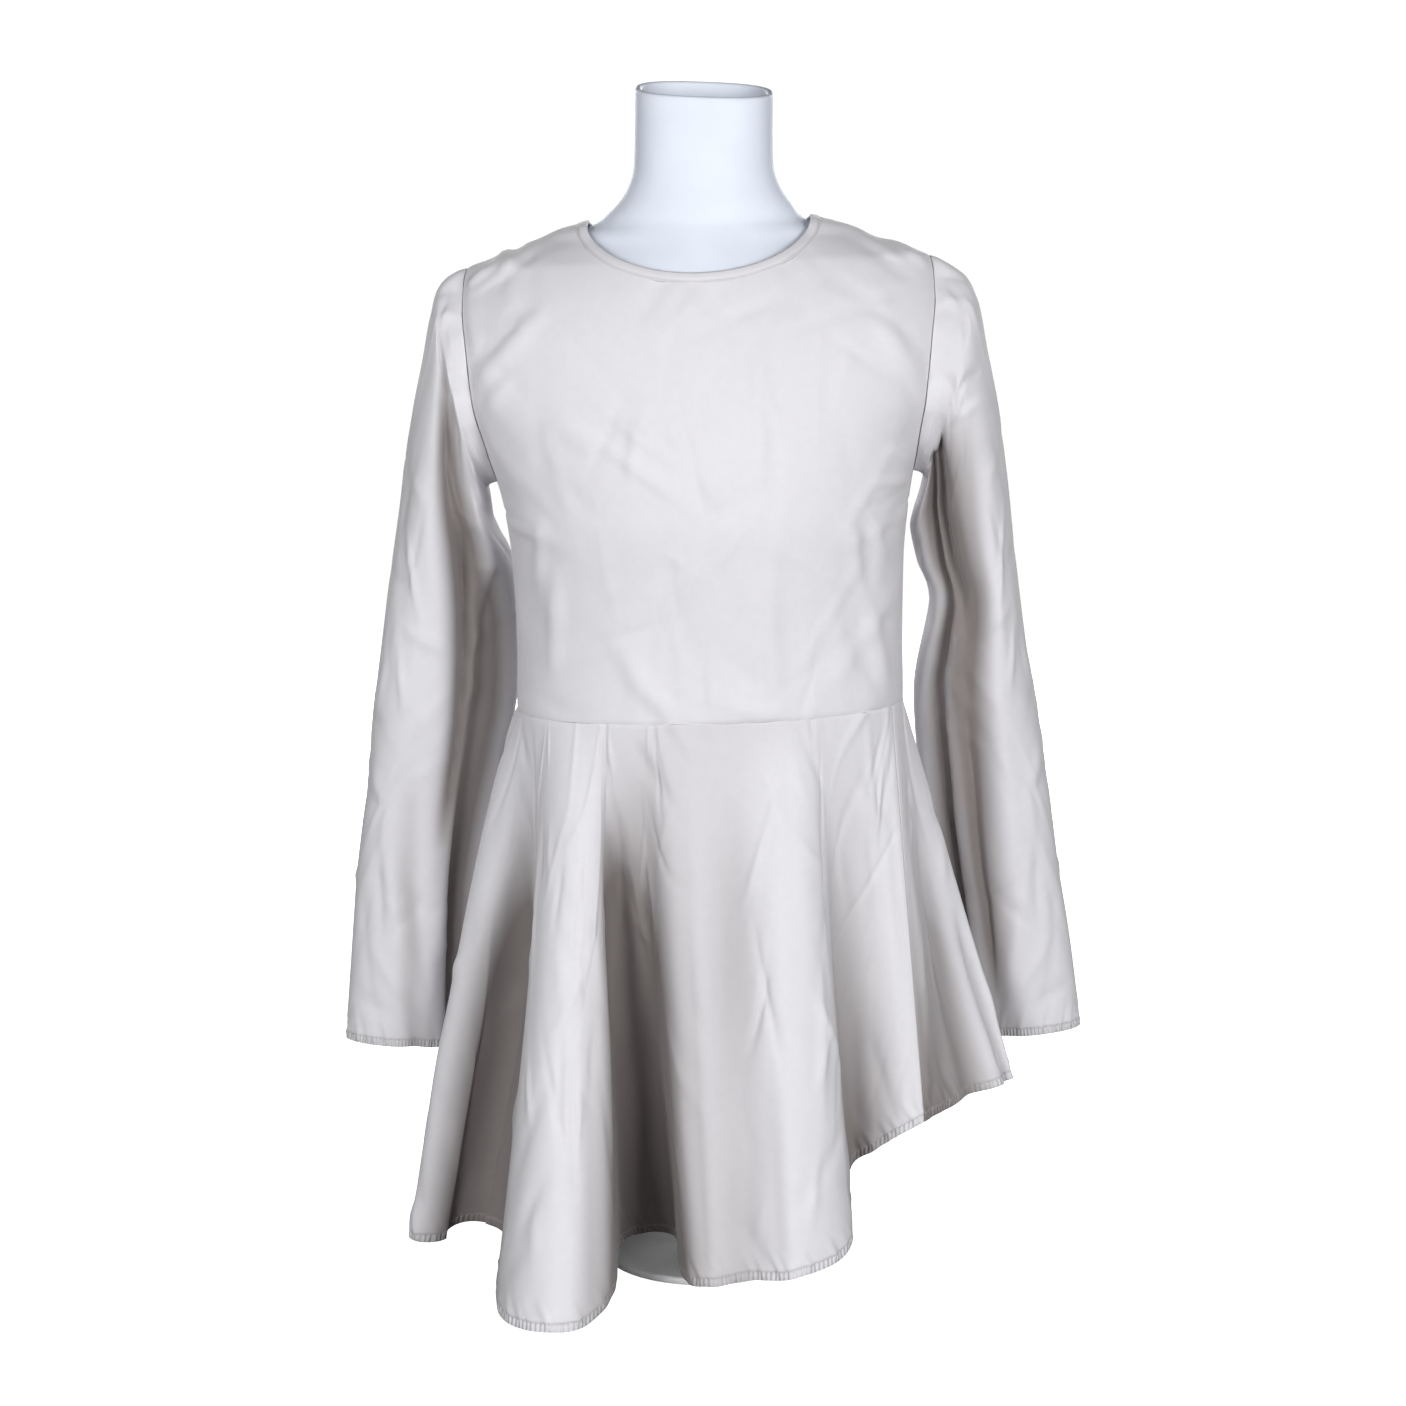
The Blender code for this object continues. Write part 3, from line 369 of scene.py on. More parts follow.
PUCKER_REACH = 0.016
PUCKER_DEPTH = 0.00075
PUCKER_LENGTHS = (0.0083, 0.0127, 0.0215)
PUCKER_LEAN = 0.55
PUCKER_SHIFT = 9.0
STITCH_IN = 0.0065
BAND_STITCH_IN = 0.0012
RIB_TURNS = 1500.0
RIB_HEIGHT = 0.0005
CREASE_LIFT = 2.4
SEAM_DIP = 0.0003
SEAM_DIP_REACH = 0.0035
WAIST_DIP = 0.3
EDGE_WEIGHT = 100
LOWEST_LIFT = -0.0010
BINDING_BULGE = 0.0007
# Painted shade in folds: how deep in its fold a point must lie before the cloth's colour is
# multiplied darker, down to about a third of its brightness.
SHADE_COLUMNS = 44
SHADE_STEP = 4
SHADE_FROM = 0.010
SHADE_DEPTH = 0.040
SKIRT_SHADE_DEPTH = 0.026
SLEEVE_SHADE_DEPTH = 0.012
# Colour that the cloth is multiplied by in the deepest folds: painted shade, dark and warm.
PAINTED_FOLD_SHADE = (0.33, 0.30, 0.28)
RIM_ARC_STEPS = 8
FORM_ROWS = 150
BINDING_ROWS = 9
BODICE_PASSES = 6
RIDGE_BELOW_TIP = 0.002
RIDGE_STEPS = 400
CREASE_EASE_IN = (-0.10, 0.30)
CREASE_EASE_OUT = (0.65, 1.10)
FOLD_EASE_IN = (0.0, 0.45)
FOLD_EASE_OUT = (0.5, 1.0)
SIDE_CALM = 0.008
WAIST_CALM = 0.006
SEAM_CALM = 0.012
WELL_SHARES = (0.15, 1.0, 8)
WELL_FLOOR = (0.004, 0.012, 0.024, 0.036)
FORM_END = (0.024, 0.014, 0.005)

# Finishes: colours are linear, heights in metres, threads and ribs in radians per metre.
WHITE = (1.0, 1.0, 1.0, 1.0)
CLOTH_LIGHT = (0.690, 0.680, 0.712)
CLOTH_DARK = (0.672, 0.662, 0.692)
# Darker colour laid into the stitched groove: painted shade.
PAINTED_GROOVE_SHADE = (0.420, 0.400, 0.395)
CLOTH_ROUGHNESS = 0.75
CLOTH_SHINE = 0.22
CLOTH_RELIEF = 0.8
SHEEN = 0.25
SHEEN_ROUGHNESS = 0.45
SHEEN_TINT = (1.0, 0.98, 0.96, 1.0)
THREADS = 1500.0
THREAD_SHARE = 0.5
SLUBS = 150.0
SLUB_DETAIL = 4.0
WEAVE_HEIGHT = 0.00004
STITCH_PITCH = 0.0030
STITCH_HALF_WIDTH = 0.00045
STITCH_SHARE = 0.72
STITCH_HEIGHT = 0.0002
GROOVE_REACH = 0.0011
GROOVE_HEIGHT = -0.0004
# How strongly the painted groove shade is laid in.
PAINTED_GROOVE_SHADE_SHARE = 0.35
RAMP_STOPS = (0.3, 0.7)
MOULDED_SHINE = 0.2
MOULDED_DETAIL = 3.0
MOULDED_RELIEF = 0.3

# Each moulded or painted finish: two tones, roughness, grain and relief.
MOULDED = {
    "form_white": ((0.70, 0.75, 0.84), (0.73, 0.78, 0.87), 0.5, 35.0, 0.0004),
    "pole_white_paint": ((0.86, 0.86, 0.88), (0.90, 0.90, 0.92), 0.32, 90.0, 0.0002),
    "button_pearl": ((0.56, 0.54, 0.53), (0.68, 0.66, 0.65), 0.22, 400.0, 0.0001),
}

BACKDROP_COLOUR = (0.90, 0.90, 0.90, 1.0)
BACKDROP_GLOW = 0.97
BACKDROP_ROUGHNESS = 0.9
STAGE_BEND_STEPS = 24
STAGE_ROUND = 96

# Each soft light: place, size and power; all face the same point.
LIGHTS = (
    ("top_soft", (0.0, -2.86, 2.07), 1.2, 9.0),
    ("left_soft", (-1.53, -2.87, 0.99), 1.2, 51.0),
    ("right_soft", (1.53, -2.87, 0.99), 1.2, 66.0),
    ("left_fill", (-2.96, -1.38, 0.88), 1.0, 17.0),
    ("right_fill", (2.96, -1.38, 0.88), 1.0, 17.0),
    ("rear_left_soft", (-1.0, 3.0, 1.42), 1.1, 50.0),
    ("rear_right_soft", (1.0, 3.0, 1.42), 1.1, 50.0),
)
LIT_POINT = (0.0, 0.0, 0.42)
SKY_STRENGTH = 0.02

CAMERA_DISTANCE = 2.2
CAMERA_HEIGHT = 0.447
CAMERA_ELEVATION = math.radians(9.5)
FOCAL_PIXELS = 2820
PICTURE_PIXELS = 1406
SENSOR_MM = 36.0


def monotone(keys, values, at):
    """Cubic through the rows whose slopes never overshoot them (weighted harmonic means)."""
    step = np.diff(keys)
    rise = np.diff(values) / step
    same = rise[:-1] * rise[1:] > 0.0
    left, right = 2 * step[1:] + step[:-1], step[1:] + 2 * step[:-1]
    safe = np.where(same, rise[:-1] * rise[1:], 1.0)
    middle = np.where(same, (left + right) * safe
                      / np.where(same, left * rise[1:] + right * rise[:-1], 1.0), 0.0)
    slope = np.concatenate(([rise[0]], middle, [rise[-1]]))
    return hermite(keys, values, slope, np.clip(at, keys[0], keys[-1]))


def hermite(keys, values, slope, at):
    """Cubic pieces that meet the given values and slopes at the keys."""
    i = np.clip(np.searchsorted(keys, at, side="right") - 1, 0, len(keys) - 2)
    step = keys[i + 1] - keys[i]
    t = (at - keys[i]) / step
    return ((2 * t**3 - 3 * t**2 + 1) * values[i] + (t**3 - 2 * t**2 + t) * step * slope[i]
            + (3 * t**2 - 2 * t**3) * values[i + 1] + (t**3 - t**2) * step * slope[i + 1])


def smooth(keys, values, at):
    """Cubic through the rows, each slope taken from its two neighbours."""
    return hermite(keys, values, np.gradient(values, keys), at)


def smoothstep(x, low, high):
    """0 below low, 1 above high, and an eased rise between."""
    t = np.clip((x - low) / (high - low), 0.0, 1.0)
    return t * t * (3 - 2 * t)


def section(z, cloth=True):
    """Half width, front depth, back depth and power of the level section at height z."""
    def at(name):
        return monotone(BODY["z"], BODY[name], z)

    inset = 0.0 if cloth else 1.0
    return (at("half") - inset * at("in_side"), at("front") - inset * at("in_front"),
            at("back") - inset * at("in_back"), at("power"))


def surface_y(x, z, side):
    """Depth of the cloth's inner face at (x, z); side is -1 in front and +1 behind."""
    half, front, back, power = section(z)
    depth = front if side < 0 else back
    inside = np.clip(1.0 - np.abs(x / half) ** power, 0.0, 1.0)
    return side * depth * inside ** (1.0 / power)


def outward(x, y, z, side):
    """Unit normal of the body: the gradient of |x/half|^p + |y/depth|^p."""
    def level(height):
        half, front, back, power = section(height)
        depth = front if side < 0 else back
        return np.abs(x / half) ** power + np.abs(y / depth) ** power

    half, front, back, power = section(z)
    depth = front if side < 0 else back
    rise = 0.0005
    normal = np.stack([power * np.sign(x) * (np.abs(x) / half) ** (power - 1) / half,
                       power * np.sign(y) * (np.abs(y) / depth) ** (power - 1) / depth,
                       (level(z + rise) - level(z - rise)) / (2 * rise)], -1)
    return normal / np.linalg.norm(normal, axis=-1, keepdims=True)


def ridge_z(x):
    """Height of the shoulder line at x: the level where the section's half width is x."""
    z = np.linspace(SHOULDER_TIP_Z - RIDGE_BELOW_TIP, SHOULDER_LINE_TOP_Z, RIDGE_STEPS)
    return np.interp(-np.abs(x), -section(z)[0], z)


def panel_half(z):
    """Half width of the bodice panels: the body's side, then the armhole curve."""
    armhole = monotone(ARMHOLE["z"], ARMHOLE["half"], z)
    return np.where(z < UNDERARM_Z, section(z)[0], armhole)


def neck_edge(x, widen, drop):
    """Height of the neckline at x: half an ellipse hung from the shoulder line."""
    half = NECK_HALF + widen
    arc = np.sqrt(np.clip(1.0 - (x / half) ** 2, 0.0, 1.0))
    return ridge_z(np.array(half)) - (drop + BINDING_DROP_SHARE * widen) * arc


def panel_top(x, drop):
    """Upper edge of a bodice panel: shoulder line outside the binding, neckline inside it."""
    widen = BINDING_WIDTH + NECK_SEAM
    inside = np.abs(x) < NECK_HALF + widen
    return np.where(inside, neck_edge(x, widen, drop), ridge_z(x))


def stance(points):
    """Lean and slope of the clothed body, fading out below the waist."""
    shifted = points.copy()
    x, z = points[..., 0], points[..., 2]
    shifted[..., 0] = x + monotone(LEAN["z"], LEAN["shift"], z)
    shifted[..., 2] = z + SLOPE * x * smoothstep(z, SLOPE_FROM_Z, SLOPE_FULL_Z)
    return shifted


def spaced(corner, beside, inside):
    """Shares from -1 to 1 with knots at the neck corners, denser there and at the sides."""
    angles = np.radians(np.concatenate((np.linspace(-90.0, 90.0, inside + 1),
                                        (-CORNER_TURN, CORNER_TURN))))
    neck = corner * np.sin(np.sort(angles))
    shoulder = corner + (1.0 - corner) * np.sin(np.linspace(0.0, math.pi / 2, beside + 1)[1:])
    return np.concatenate((-shoulder[::-1], neck, shoulder))


def bodice_grid(side, drop, inside):
    """Points (row, column): x is a share of the panel's half width, z a share of its height."""
    corner = (NECK_HALF + BINDING_WIDTH + NECK_SEAM) / SHOULDER_TIP_X
    across = spaced(corner, BODICE_SIDE_COLUMNS, inside)
    if side > 0:
        split = SLIT_WIDTH / 2 / SHOULDER_TIP_X
        across = np.concatenate((across[across < -split], (-split, split), across[across > split]))
    up = 1.0 - (1.0 - np.linspace(0.0, 1.0, BODICE_ROWS)) ** BODICE_CROWDING
    if side < 0:
        dart = (DART_Z - WAIST_Z) / (SHOULDER_TIP_Z - WAIST_Z)
        half_dart = DART_SPREAD / (SHOULDER_TIP_Z - WAIST_Z)
        up = np.sort(np.concatenate((up[np.abs(up - dart) > DART_ROW_ROOM],
                                     (dart - 2 * half_dart, dart, dart + 2 * half_dart))))
    share, rise = np.meshgrid(across, up)
    x = share * SHOULDER_TIP_X
    for _ in range(BODICE_PASSES):
        z = WAIST_Z + rise * (panel_top(share * panel_half(panel_top(x, drop)), drop) - WAIST_Z)
        x = share * panel_half(z)
    y = surface_y(x, z, side)
    y = np.minimum(y, -SEAM / 2) if side < 0 else np.maximum(y, SEAM / 2)
    return np.stack([x, y, z], -1)


def sewn_dart(grid):
    """Sink a short crease into the front beside each side seam, at bust height."""
    x, y, z = grid[..., 0], grid[..., 1], grid[..., 2]
    from_side = panel_half(z) - np.abs(x) - DART_TURN_IN * y
    reach = 1.0 - smoothstep(from_side, DART_FULL_SHARE * DART_LENGTH, DART_LENGTH)
    sink = DART_DEPTH * reach * np.exp(-((z - DART_Z) / DART_SPREAD) ** 2)
    return grid - sink[..., None] * outward(x, y, z, -1)


def binding_curve(widen, turns):
    """The neckline, widened, at each turn from the back middle round to it again."""
    half = NECK_HALF + widen
    x = half * np.sin(turns)
    behind = np.cos(turns) > 0.0
    z = np.where(behind, neck_edge(x, widen, NECK_BACK_DROP), neck_edge(x, widen, NECK_FRONT_DROP))
    y = np.where(behind, surface_y(x, z, 1), surface_y(x, z, -1))
    return np.stack([x, y, z], -1)


def armhole_loop(turns):
    """Outer edge of the bodice's armhole; turn 0 is the shoulder tip and 180 the underarm."""
    z = UNDERARM_Z + (SHOULDER_TIP_Z - UNDERARM_Z) * (1 + np.cos(turns)) / 2
    x = panel_half(z)
    in_front = np.sin(turns) > 0.0
    loop = np.zeros((len(turns), 3))
    for side, chosen in ((-1, in_front), (1, ~in_front)):
        y = surface_y(x, z, side)
        points = np.stack([x, y, z], -1) + CLOTH * outward(x, y, z, side)
        loop[chosen] = points[chosen]
    return loop + np.array(ARMHOLE_SEAM)


def fold_depth(table, turn, along):
    """Sum of soft bumps that follow each fold's line round and along the sleeve."""
    depth = np.zeros_like(turn)
    for turn_from, turn_to, start, end, deep, spread in table:
        share = np.clip((along - start) / (end - start), 0.0, 1.0)
        line = turn_from + (turn_to - turn_from) * share
        apart = (turn - np.radians(line) + math.pi) % (2 * math.pi) - math.pi
        fade = np.sin(math.pi * share) ** FOLD_FADE
        depth += deep * fade * np.exp(-(apart / np.radians(spread)) ** 2)
    return depth


def sleeve_grid(name, turns, along, deep):
    """Ellipses between the outermost and innermost points, eased out of the armhole's loop."""
    size = {part: smooth(np.linspace(0.0, 1.0, len(values)), values, along)
            for part, values in SLEEVES[name].items()}
    outer = np.stack([size["outer_x"], size["outer_y"], size["outer_z"]], -1)
    inner = np.stack([size["inner_x"], size["inner_y"], size["inner_z"]], -1)
    middle, reach = (outer + inner) / 2, (outer - inner) / 2
    depth = np.zeros_like(middle)
    depth[:, 1] = -size["depth"]
    ring = (middle[:, None] + reach[:, None] * np.cos(turns)[None, :, None]
            + depth[:, None] * np.sin(turns)[None, :, None])
    start = armhole_loop(turns) - ring[0]
    eased = 1.0 - smoothstep(along, 0.0, ARMHOLE_EASE)
    grid = ring + start[None] * eased[:, None, None]
    to_middle = middle[:, None] - grid
    to_middle /= np.linalg.norm(to_middle, axis=-1, keepdims=True)
    return grid + deep[..., None] * to_middle


def round_body(turns, z, grow, cloth=True):
    """x and y of the closed section at height z: |x/half|^p + |y/depth|^p = 1, grown evenly."""
    half, front, back, power = section(np.full_like(turns, z), cloth)
    swing, ahead = np.sin(turns), np.cos(turns)
    x = (half + grow) * np.sign(swing) * np.abs(swing) ** (2 / power)
    depth = np.where(ahead > 0.0, front, back) + grow
    return x, -depth * np.sign(ahead) * np.abs(ahead) ** (2 / power)


def waist_line(turns):
    """Outer face of the bodice's waist edge at each turn, moved down by the seam."""
    x, y = round_body(turns, WAIST_Z, CLOTH)
    return stance(np.stack([x, y, np.full_like(x, WAIST_Z - SEAM)], -1))


def hem_value(name, turns):
    """A column of the hem table at any turn, smooth right round."""
    turn, value = HEM["turn"], HEM[name]
    keys = np.concatenate((turn[-3:] - 360.0, turn, turn[:3] + 360.0))
    values = np.concatenate((value[-3:], value, value[:3]))
    start = turn[0]
    return smooth(keys, values, (np.degrees(turns) - start) % 360.0 + start)


def skirt_grid(turns, down):
    """Each column runs from its waist point to its hem point, leaving the waist as stated."""
    waist = waist_line(turns)
    hem = np.stack([hem_value(axis, turns) for axis in ("x", "y", "z")], -1)
    spread = down ** hem_value("start", turns)[None, :]
    share = np.stack([spread, spread, np.broadcast_to(down, spread.shape)], -1)
    return waist[None] + (hem - waist)[None] * share


def part_seams(grid):
    """Move the first and last column inwards by their share of the seam."""
    for edge, beside in ((0, 1), (-1, -2)):
        step = grid[:, beside] - grid[:, edge]
        step /= np.linalg.norm(step, axis=-1, keepdims=True)
        grid[:, edge] += step * SEAM * SIDE_SEAM_SHARE
    return grid


def form_ring(z, shrink=0.0):
    """One closed section of the form at height z, drawn in by shrink."""
    turns = np.linspace(0.0, 2 * math.pi, FORM_ROUND, endpoint=False)
    x, y = round_body(turns, z, -shrink, cloth=False)
    drop = FORM_DROP * smoothstep(z, *FORM_DROP_RISE) * (1.0 - smoothstep(z, *FORM_DROP_FALL))
    slant = (RIM_SLANT * y + RIM_TILT * x) * smoothstep(z, RIM_SLANT_FROM_Z, NECK_TOP_Z)
    return np.stack([x, y, z - drop + slant], -1)


def panel_creases(x, z, table):
    """Sum of soft ridges: height times a bell of the distance to a segment, eased at its ends."""
    rise = np.zeros_like(x)
    for x_from, z_from, x_to, z_to, height, spread in table:
        start = np.array((x_from, z_from))
        run = np.array((x_to, z_to)) - start
        share = ((x - start[0]) * run[0] + (z - start[1]) * run[1]) / (run @ run)
        near = np.clip(share, 0.0, 1.0)
        apart = np.hypot(x - start[0] - near * run[0], z - start[1] - near * run[1])
        fade = smoothstep(share, *CREASE_EASE_IN) * (1.0 - smoothstep(share, *CREASE_EASE_OUT))
        rise += height * fade * np.exp(-(apart / spread) ** 2)
    return rise


def rumples(across, down, name):
    """Scattered small creases: bells, long one way and narrow the other, turned at random."""
    count, lean = RUMPLES[name]
    draw = np.random.default_rng(count)
    relief = np.zeros(np.broadcast(across, down).shape)
    for _ in range(count):
        at_across = draw.uniform(across.min(), across.max())
        at_down = draw.uniform(down.min(), down.max())
        turn = lean * draw.normal()
        long, narrow = draw.uniform(*RUMPLE_LENGTHS), draw.uniform(*RUMPLE_WIDTHS)
        height = draw.uniform(*RUMPLE_HEIGHTS) * draw.choice((-1.0, 1.0))
        u = (across - at_across) * math.cos(turn) + (down - at_down) * math.sin(turn)
        v = (down - at_down) * math.cos(turn) - (across - at_across) * math.sin(turn)
        relief += height * np.exp(-(u / narrow) ** 2 - (v / long) ** 2)
    return relief


def lengths_from(grid, last):
    """Distance of each point from the last or first row, along its column."""
    steps = np.linalg.norm(np.diff(grid, axis=0), axis=-1)
    along = np.concatenate((np.zeros_like(steps[:1]), np.cumsum(steps, axis=0)))
    return along[-1:] - along if last else along


def lengths_across(grid, wrap):
    """Distance across, on the row with the widest run; a wrapped grid gets one more value."""
    closed = np.concatenate((grid, grid[:, :1]), axis=1) if wrap else grid
    steps = np.linalg.norm(np.diff(closed, axis=1), axis=-1)
    widest = steps[np.argmax(steps.sum(axis=1))]
    return np.concatenate(([0.0], np.cumsum(widest)))


def normals_of(grid, wrap):
    """Unit normals of a grid, the cross product of its two central differences."""
    if wrap:
        across = np.roll(grid, -1, axis=1) - np.roll(grid, 1, axis=1)
    else:
        across = np.gradient(grid, axis=1)
    normal = np.cross(across, np.gradient(grid, axis=0))
    return normal / np.maximum(np.linalg.norm(normal, axis=-1, keepdims=True), 1e-12)


def fold_shade(grid):
    """Strength of the painted shade in folds: how deep a point lies in its fold, the widest reach
    nearby less its own, as a share.
    """
    reach = np.hypot(grid[..., 0], grid[..., 1])
    apart = range(-SHADE_COLUMNS, SHADE_COLUMNS + 1, SHADE_STEP)
    places = np.arange(grid.shape[1])
    nearby = [np.clip(places + step, 0, grid.shape[1] - 1) for step in apart]
    widest = np.max([reach[:, where] for where in nearby], axis=0)
    eased = np.mean([widest[:, where] for where in nearby], axis=0)
    return np.clip((eased - reach - SHADE_FROM) / SHADE_DEPTH, 0.0, 1.0)


def mesh_from(name, grid, wrap, flip, left_out=None, last_edge=True, shade=None):
    """Quads of a grid as a mesh: UV map in metres, distance to its edge, and strength of the
    painted fold shade.
    """
    rows, columns = grid.shape[:2]
    row = np.arange(rows - 1)[:, None]
    left = np.arange(columns if wrap else columns - 1)[None, :]
    right = left + 1
    corners = np.stack([row * columns + left, row * columns + right % columns,
                        (row + 1) * columns + right % columns, (row + 1) * columns + left], -1)
    wide = columns + 1 if wrap else columns
    chart = np.stack([row * wide + left, row * wide + right,
                      (row + 1) * wide + right, (row + 1) * wide + left], -1)
    if flip:
        corners, chart = corners[..., ::-1], chart[..., ::-1]
    if left_out is not None:
        corners, chart = corners[~left_out], chart[~left_out]
    corners, chart = corners.reshape(-1, 4), chart.reshape(-1, 4)
    mesh = bpy.data.meshes.new(name)
    mesh.vertices.add(rows * columns)
    mesh.vertices.foreach_set("co", grid.reshape(-1))
    mesh.loops.add(corners.size)
    mesh.loops.foreach_set("vertex_index", corners.reshape(-1))
    mesh.polygons.add(len(corners))
    mesh.polygons.foreach_set("loop_start", np.arange(0, corners.size, 4))
    mesh.update(calc_edges=True)
    trim = lengths_from(grid, last_edge)
    across = np.broadcast_to(lengths_across(grid, wrap)[None], (rows, wide))
    down = np.concatenate((trim, trim[:, :1]), axis=1) if wrap else trim
    flat = np.stack([across, down], -1).reshape(-1, 2)
    layer = mesh.uv_layers.new(name="cloth")
    layer.data.foreach_set("uv", flat[chart.reshape(-1)].reshape(-1))
    edge = mesh.attributes.new("trim", "FLOAT", "POINT")
    edge.data.foreach_set("value", trim.reshape(-1).astype(np.float32))
    # Strength of the painted fold shade, kept as the attribute that the cloth's colour reads.
    if shade is not None:
        inside = mesh.attributes.new("fold", "FLOAT", "POINT")
        inside.data.foreach_set("value", shade.reshape(-1).astype(np.float32))
    mesh.validate()
    mesh.shade_smooth()
    return mesh


def linked(name, data):
    """A new object, put into the scene."""
    made = bpy.data.objects.new(name, data)
    bpy.context.scene.collection.objects.link(made)
    return made


def place(name, mesh, node, finish):
    """Link a finished mesh as the piece that stands for its node."""
    piece = linked(name, mesh)
    mesh.materials.append(finish)
    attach(piece, "root")
    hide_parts(node)
    return piece


def cloth_piece(node, grid, finish, wrap=False, flip=False, left_out=None,
                thick=CLOTH, outwards=True, last_edge=True, shade=None):
    """A cloth shell on its solid's surface."""
    mesh = mesh_from(node + "_cloth", grid, wrap, flip, left_out, last_edge, shade)
    piece = place(node + "_cloth", mesh, node, finish)
    wall = piece.modifiers.new("wall", "SOLIDIFY")
    wall.thickness = thick
    wall.offset = 1.0 if outwards else -1.0
    edges = piece.modifiers.new("flat_edges", "WEIGHTED_NORMAL")
    edges.weight = EDGE_WEIGHT
    return piece


def edge_dip(distance):
    """How far the cloth sinks beside a seam: deepest on it and gone a few millimetres away."""
    return SEAM_DIP * np.exp(-(distance / SEAM_DIP_REACH) ** 2)


def make_bodice(finish):
    """Front and back: body surface plus creases, sinking a little at waist and armhole seams."""
    edges = []
    for node, side, drop, columns, table in (
            ("bodice_front", -1, NECK_FRONT_DROP, FRONT_NECK_COLUMNS, FRONT_CREASES),
            ("bodice_back", 1, NECK_BACK_DROP, BACK_NECK_COLUMNS, BACK_CREASES)):
        grid = bodice_grid(side, drop, columns)
        edges.append(grid[-1].copy())
        x, y, z = grid[..., 0], grid[..., 1], grid[..., 2]
        away = outward(x, y, z, side)
        if side < 0:
            grid = sewn_dart(grid)
        from_side = panel_half(z) - np.abs(x)
        calm = (smoothstep(from_side, 0.0, SIDE_CALM)
                * smoothstep(z, WAIST_Z, WAIST_Z + WAIST_CALM))
        lift = (CREASE_LIFT * panel_creases(x, z, table) + rumples(x, z, "bodice")) * calm
        lift -= np.where(z > UNDERARM_Z, edge_dip(from_side), WAIST_DIP * edge_dip(z - WAIST_Z))
        over_form = np.where(lift < 0.0, LOWEST_LIFT * np.tanh(lift / LOWEST_LIFT), lift)
        grid = stance(grid + over_form[..., None] * away)
        left_out = None
        if side > 0:
            middle = grid.shape[1] // 2 - 1
            top = grid[-1, middle, 2]
            left_out = np.zeros((grid.shape[0] - 1, grid.shape[1] - 1), bool)
            left_out[:, middle] = grid[:-1, middle, 2] > top - SLIT_LENGTH
        cloth_piece(node, grid, finish, flip=side > 0, left_out=left_out,
                    last_edge=False)
    return edges


def make_binding(finish, edges):
    """Neck band: the neckline carried outwards, crowned across its width by a sine."""
    reach = NECK_HALF + BINDING_WIDTH + NECK_SEAM
    ahead, behind = ((edge[np.abs(edge[:, 0]) < reach + SEAM, 0] / reach).clip(-1.0, 1.0)
                     for edge in edges)
    past_slit = np.arcsin(behind[behind > 0.0])
    turns = np.concatenate((past_slit, math.pi - np.arcsin(ahead[::-1])[1:-1],
                            2 * math.pi - past_slit[::-1]))
    across = np.linspace(0.0, 1.0, BINDING_ROWS)
    grid = np.stack([binding_curve(share * BINDING_WIDTH, turns) for share in across])
    normal = normals_of(grid, False)
    normal *= np.sign(normal[..., 2:3])
    crown = BINDING_BULGE * np.sin(math.pi * across)[:, None, None]
    cloth_piece("neck_binding", stance(grid + crown * normal), finish,
                thick=BINDING_CLOTH)


def hem_puckers(distance, across):
    """Small slanted gathers at a stitched edge: three sines of unlike length, eased upwards."""
    ease = np.exp(-(distance / PUCKER_REACH) ** 2) * smoothstep(distance, 0.0, STITCH_IN)
    waves = [np.sin(2 * math.pi * (across + PUCKER_LEAN * distance) / length
                    + PUCKER_SHIFT * index)
             for index, length in enumerate(PUCKER_LENGTHS)]
    return PUCKER_DEPTH * ease * sum(waves)


def make_sleeves(finish):
    """Sleeves: eased ellipses, less the folds towards the middle, with puckers at the cuff."""
    turns = np.linspace(0.0, 2 * math.pi, SLEEVE_ROUND, endpoint=False)
    along = np.linspace(0.0, 1.0, SLEEVE_ROWS) ** SLEEVE_CROWDING
    places = np.meshgrid(turns, along)
    for node, sign in (("sleeve_right", -1.0), ("sleeve_left", 1.0)):
        main = fold_depth(SLEEVE_FOLDS[node], *places)
        deep = fold_depth(SLEEVE_CREASES[node], *places)
        grid = sleeve_grid(node, turns, along, main)
        middle = grid.mean(axis=1, keepdims=True)
        # Strength of the painted fold shade, from the depth of the folds.
        shade = np.clip((deep + main) / SLEEVE_SHADE_DEPTH, 0.0, 1.0)
        distance = lengths_from(grid, True)
        across = lengths_across(grid, True)[:-1][None]
        deep += hem_puckers(distance, across) + rumples(across, distance, "sleeve")
        deep += edge_dip(lengths_from(grid, False))
        inwards = middle - grid
        inwards /= np.linalg.norm(inwards, axis=-1, keepdims=True)
        grid = grid + deep[..., None] * inwards
        grid[..., 0] *= sign
        cloth_piece(node, stance(grid), finish, wrap=True, flip=sign < 0,
                    outwards=False, shade=shade)


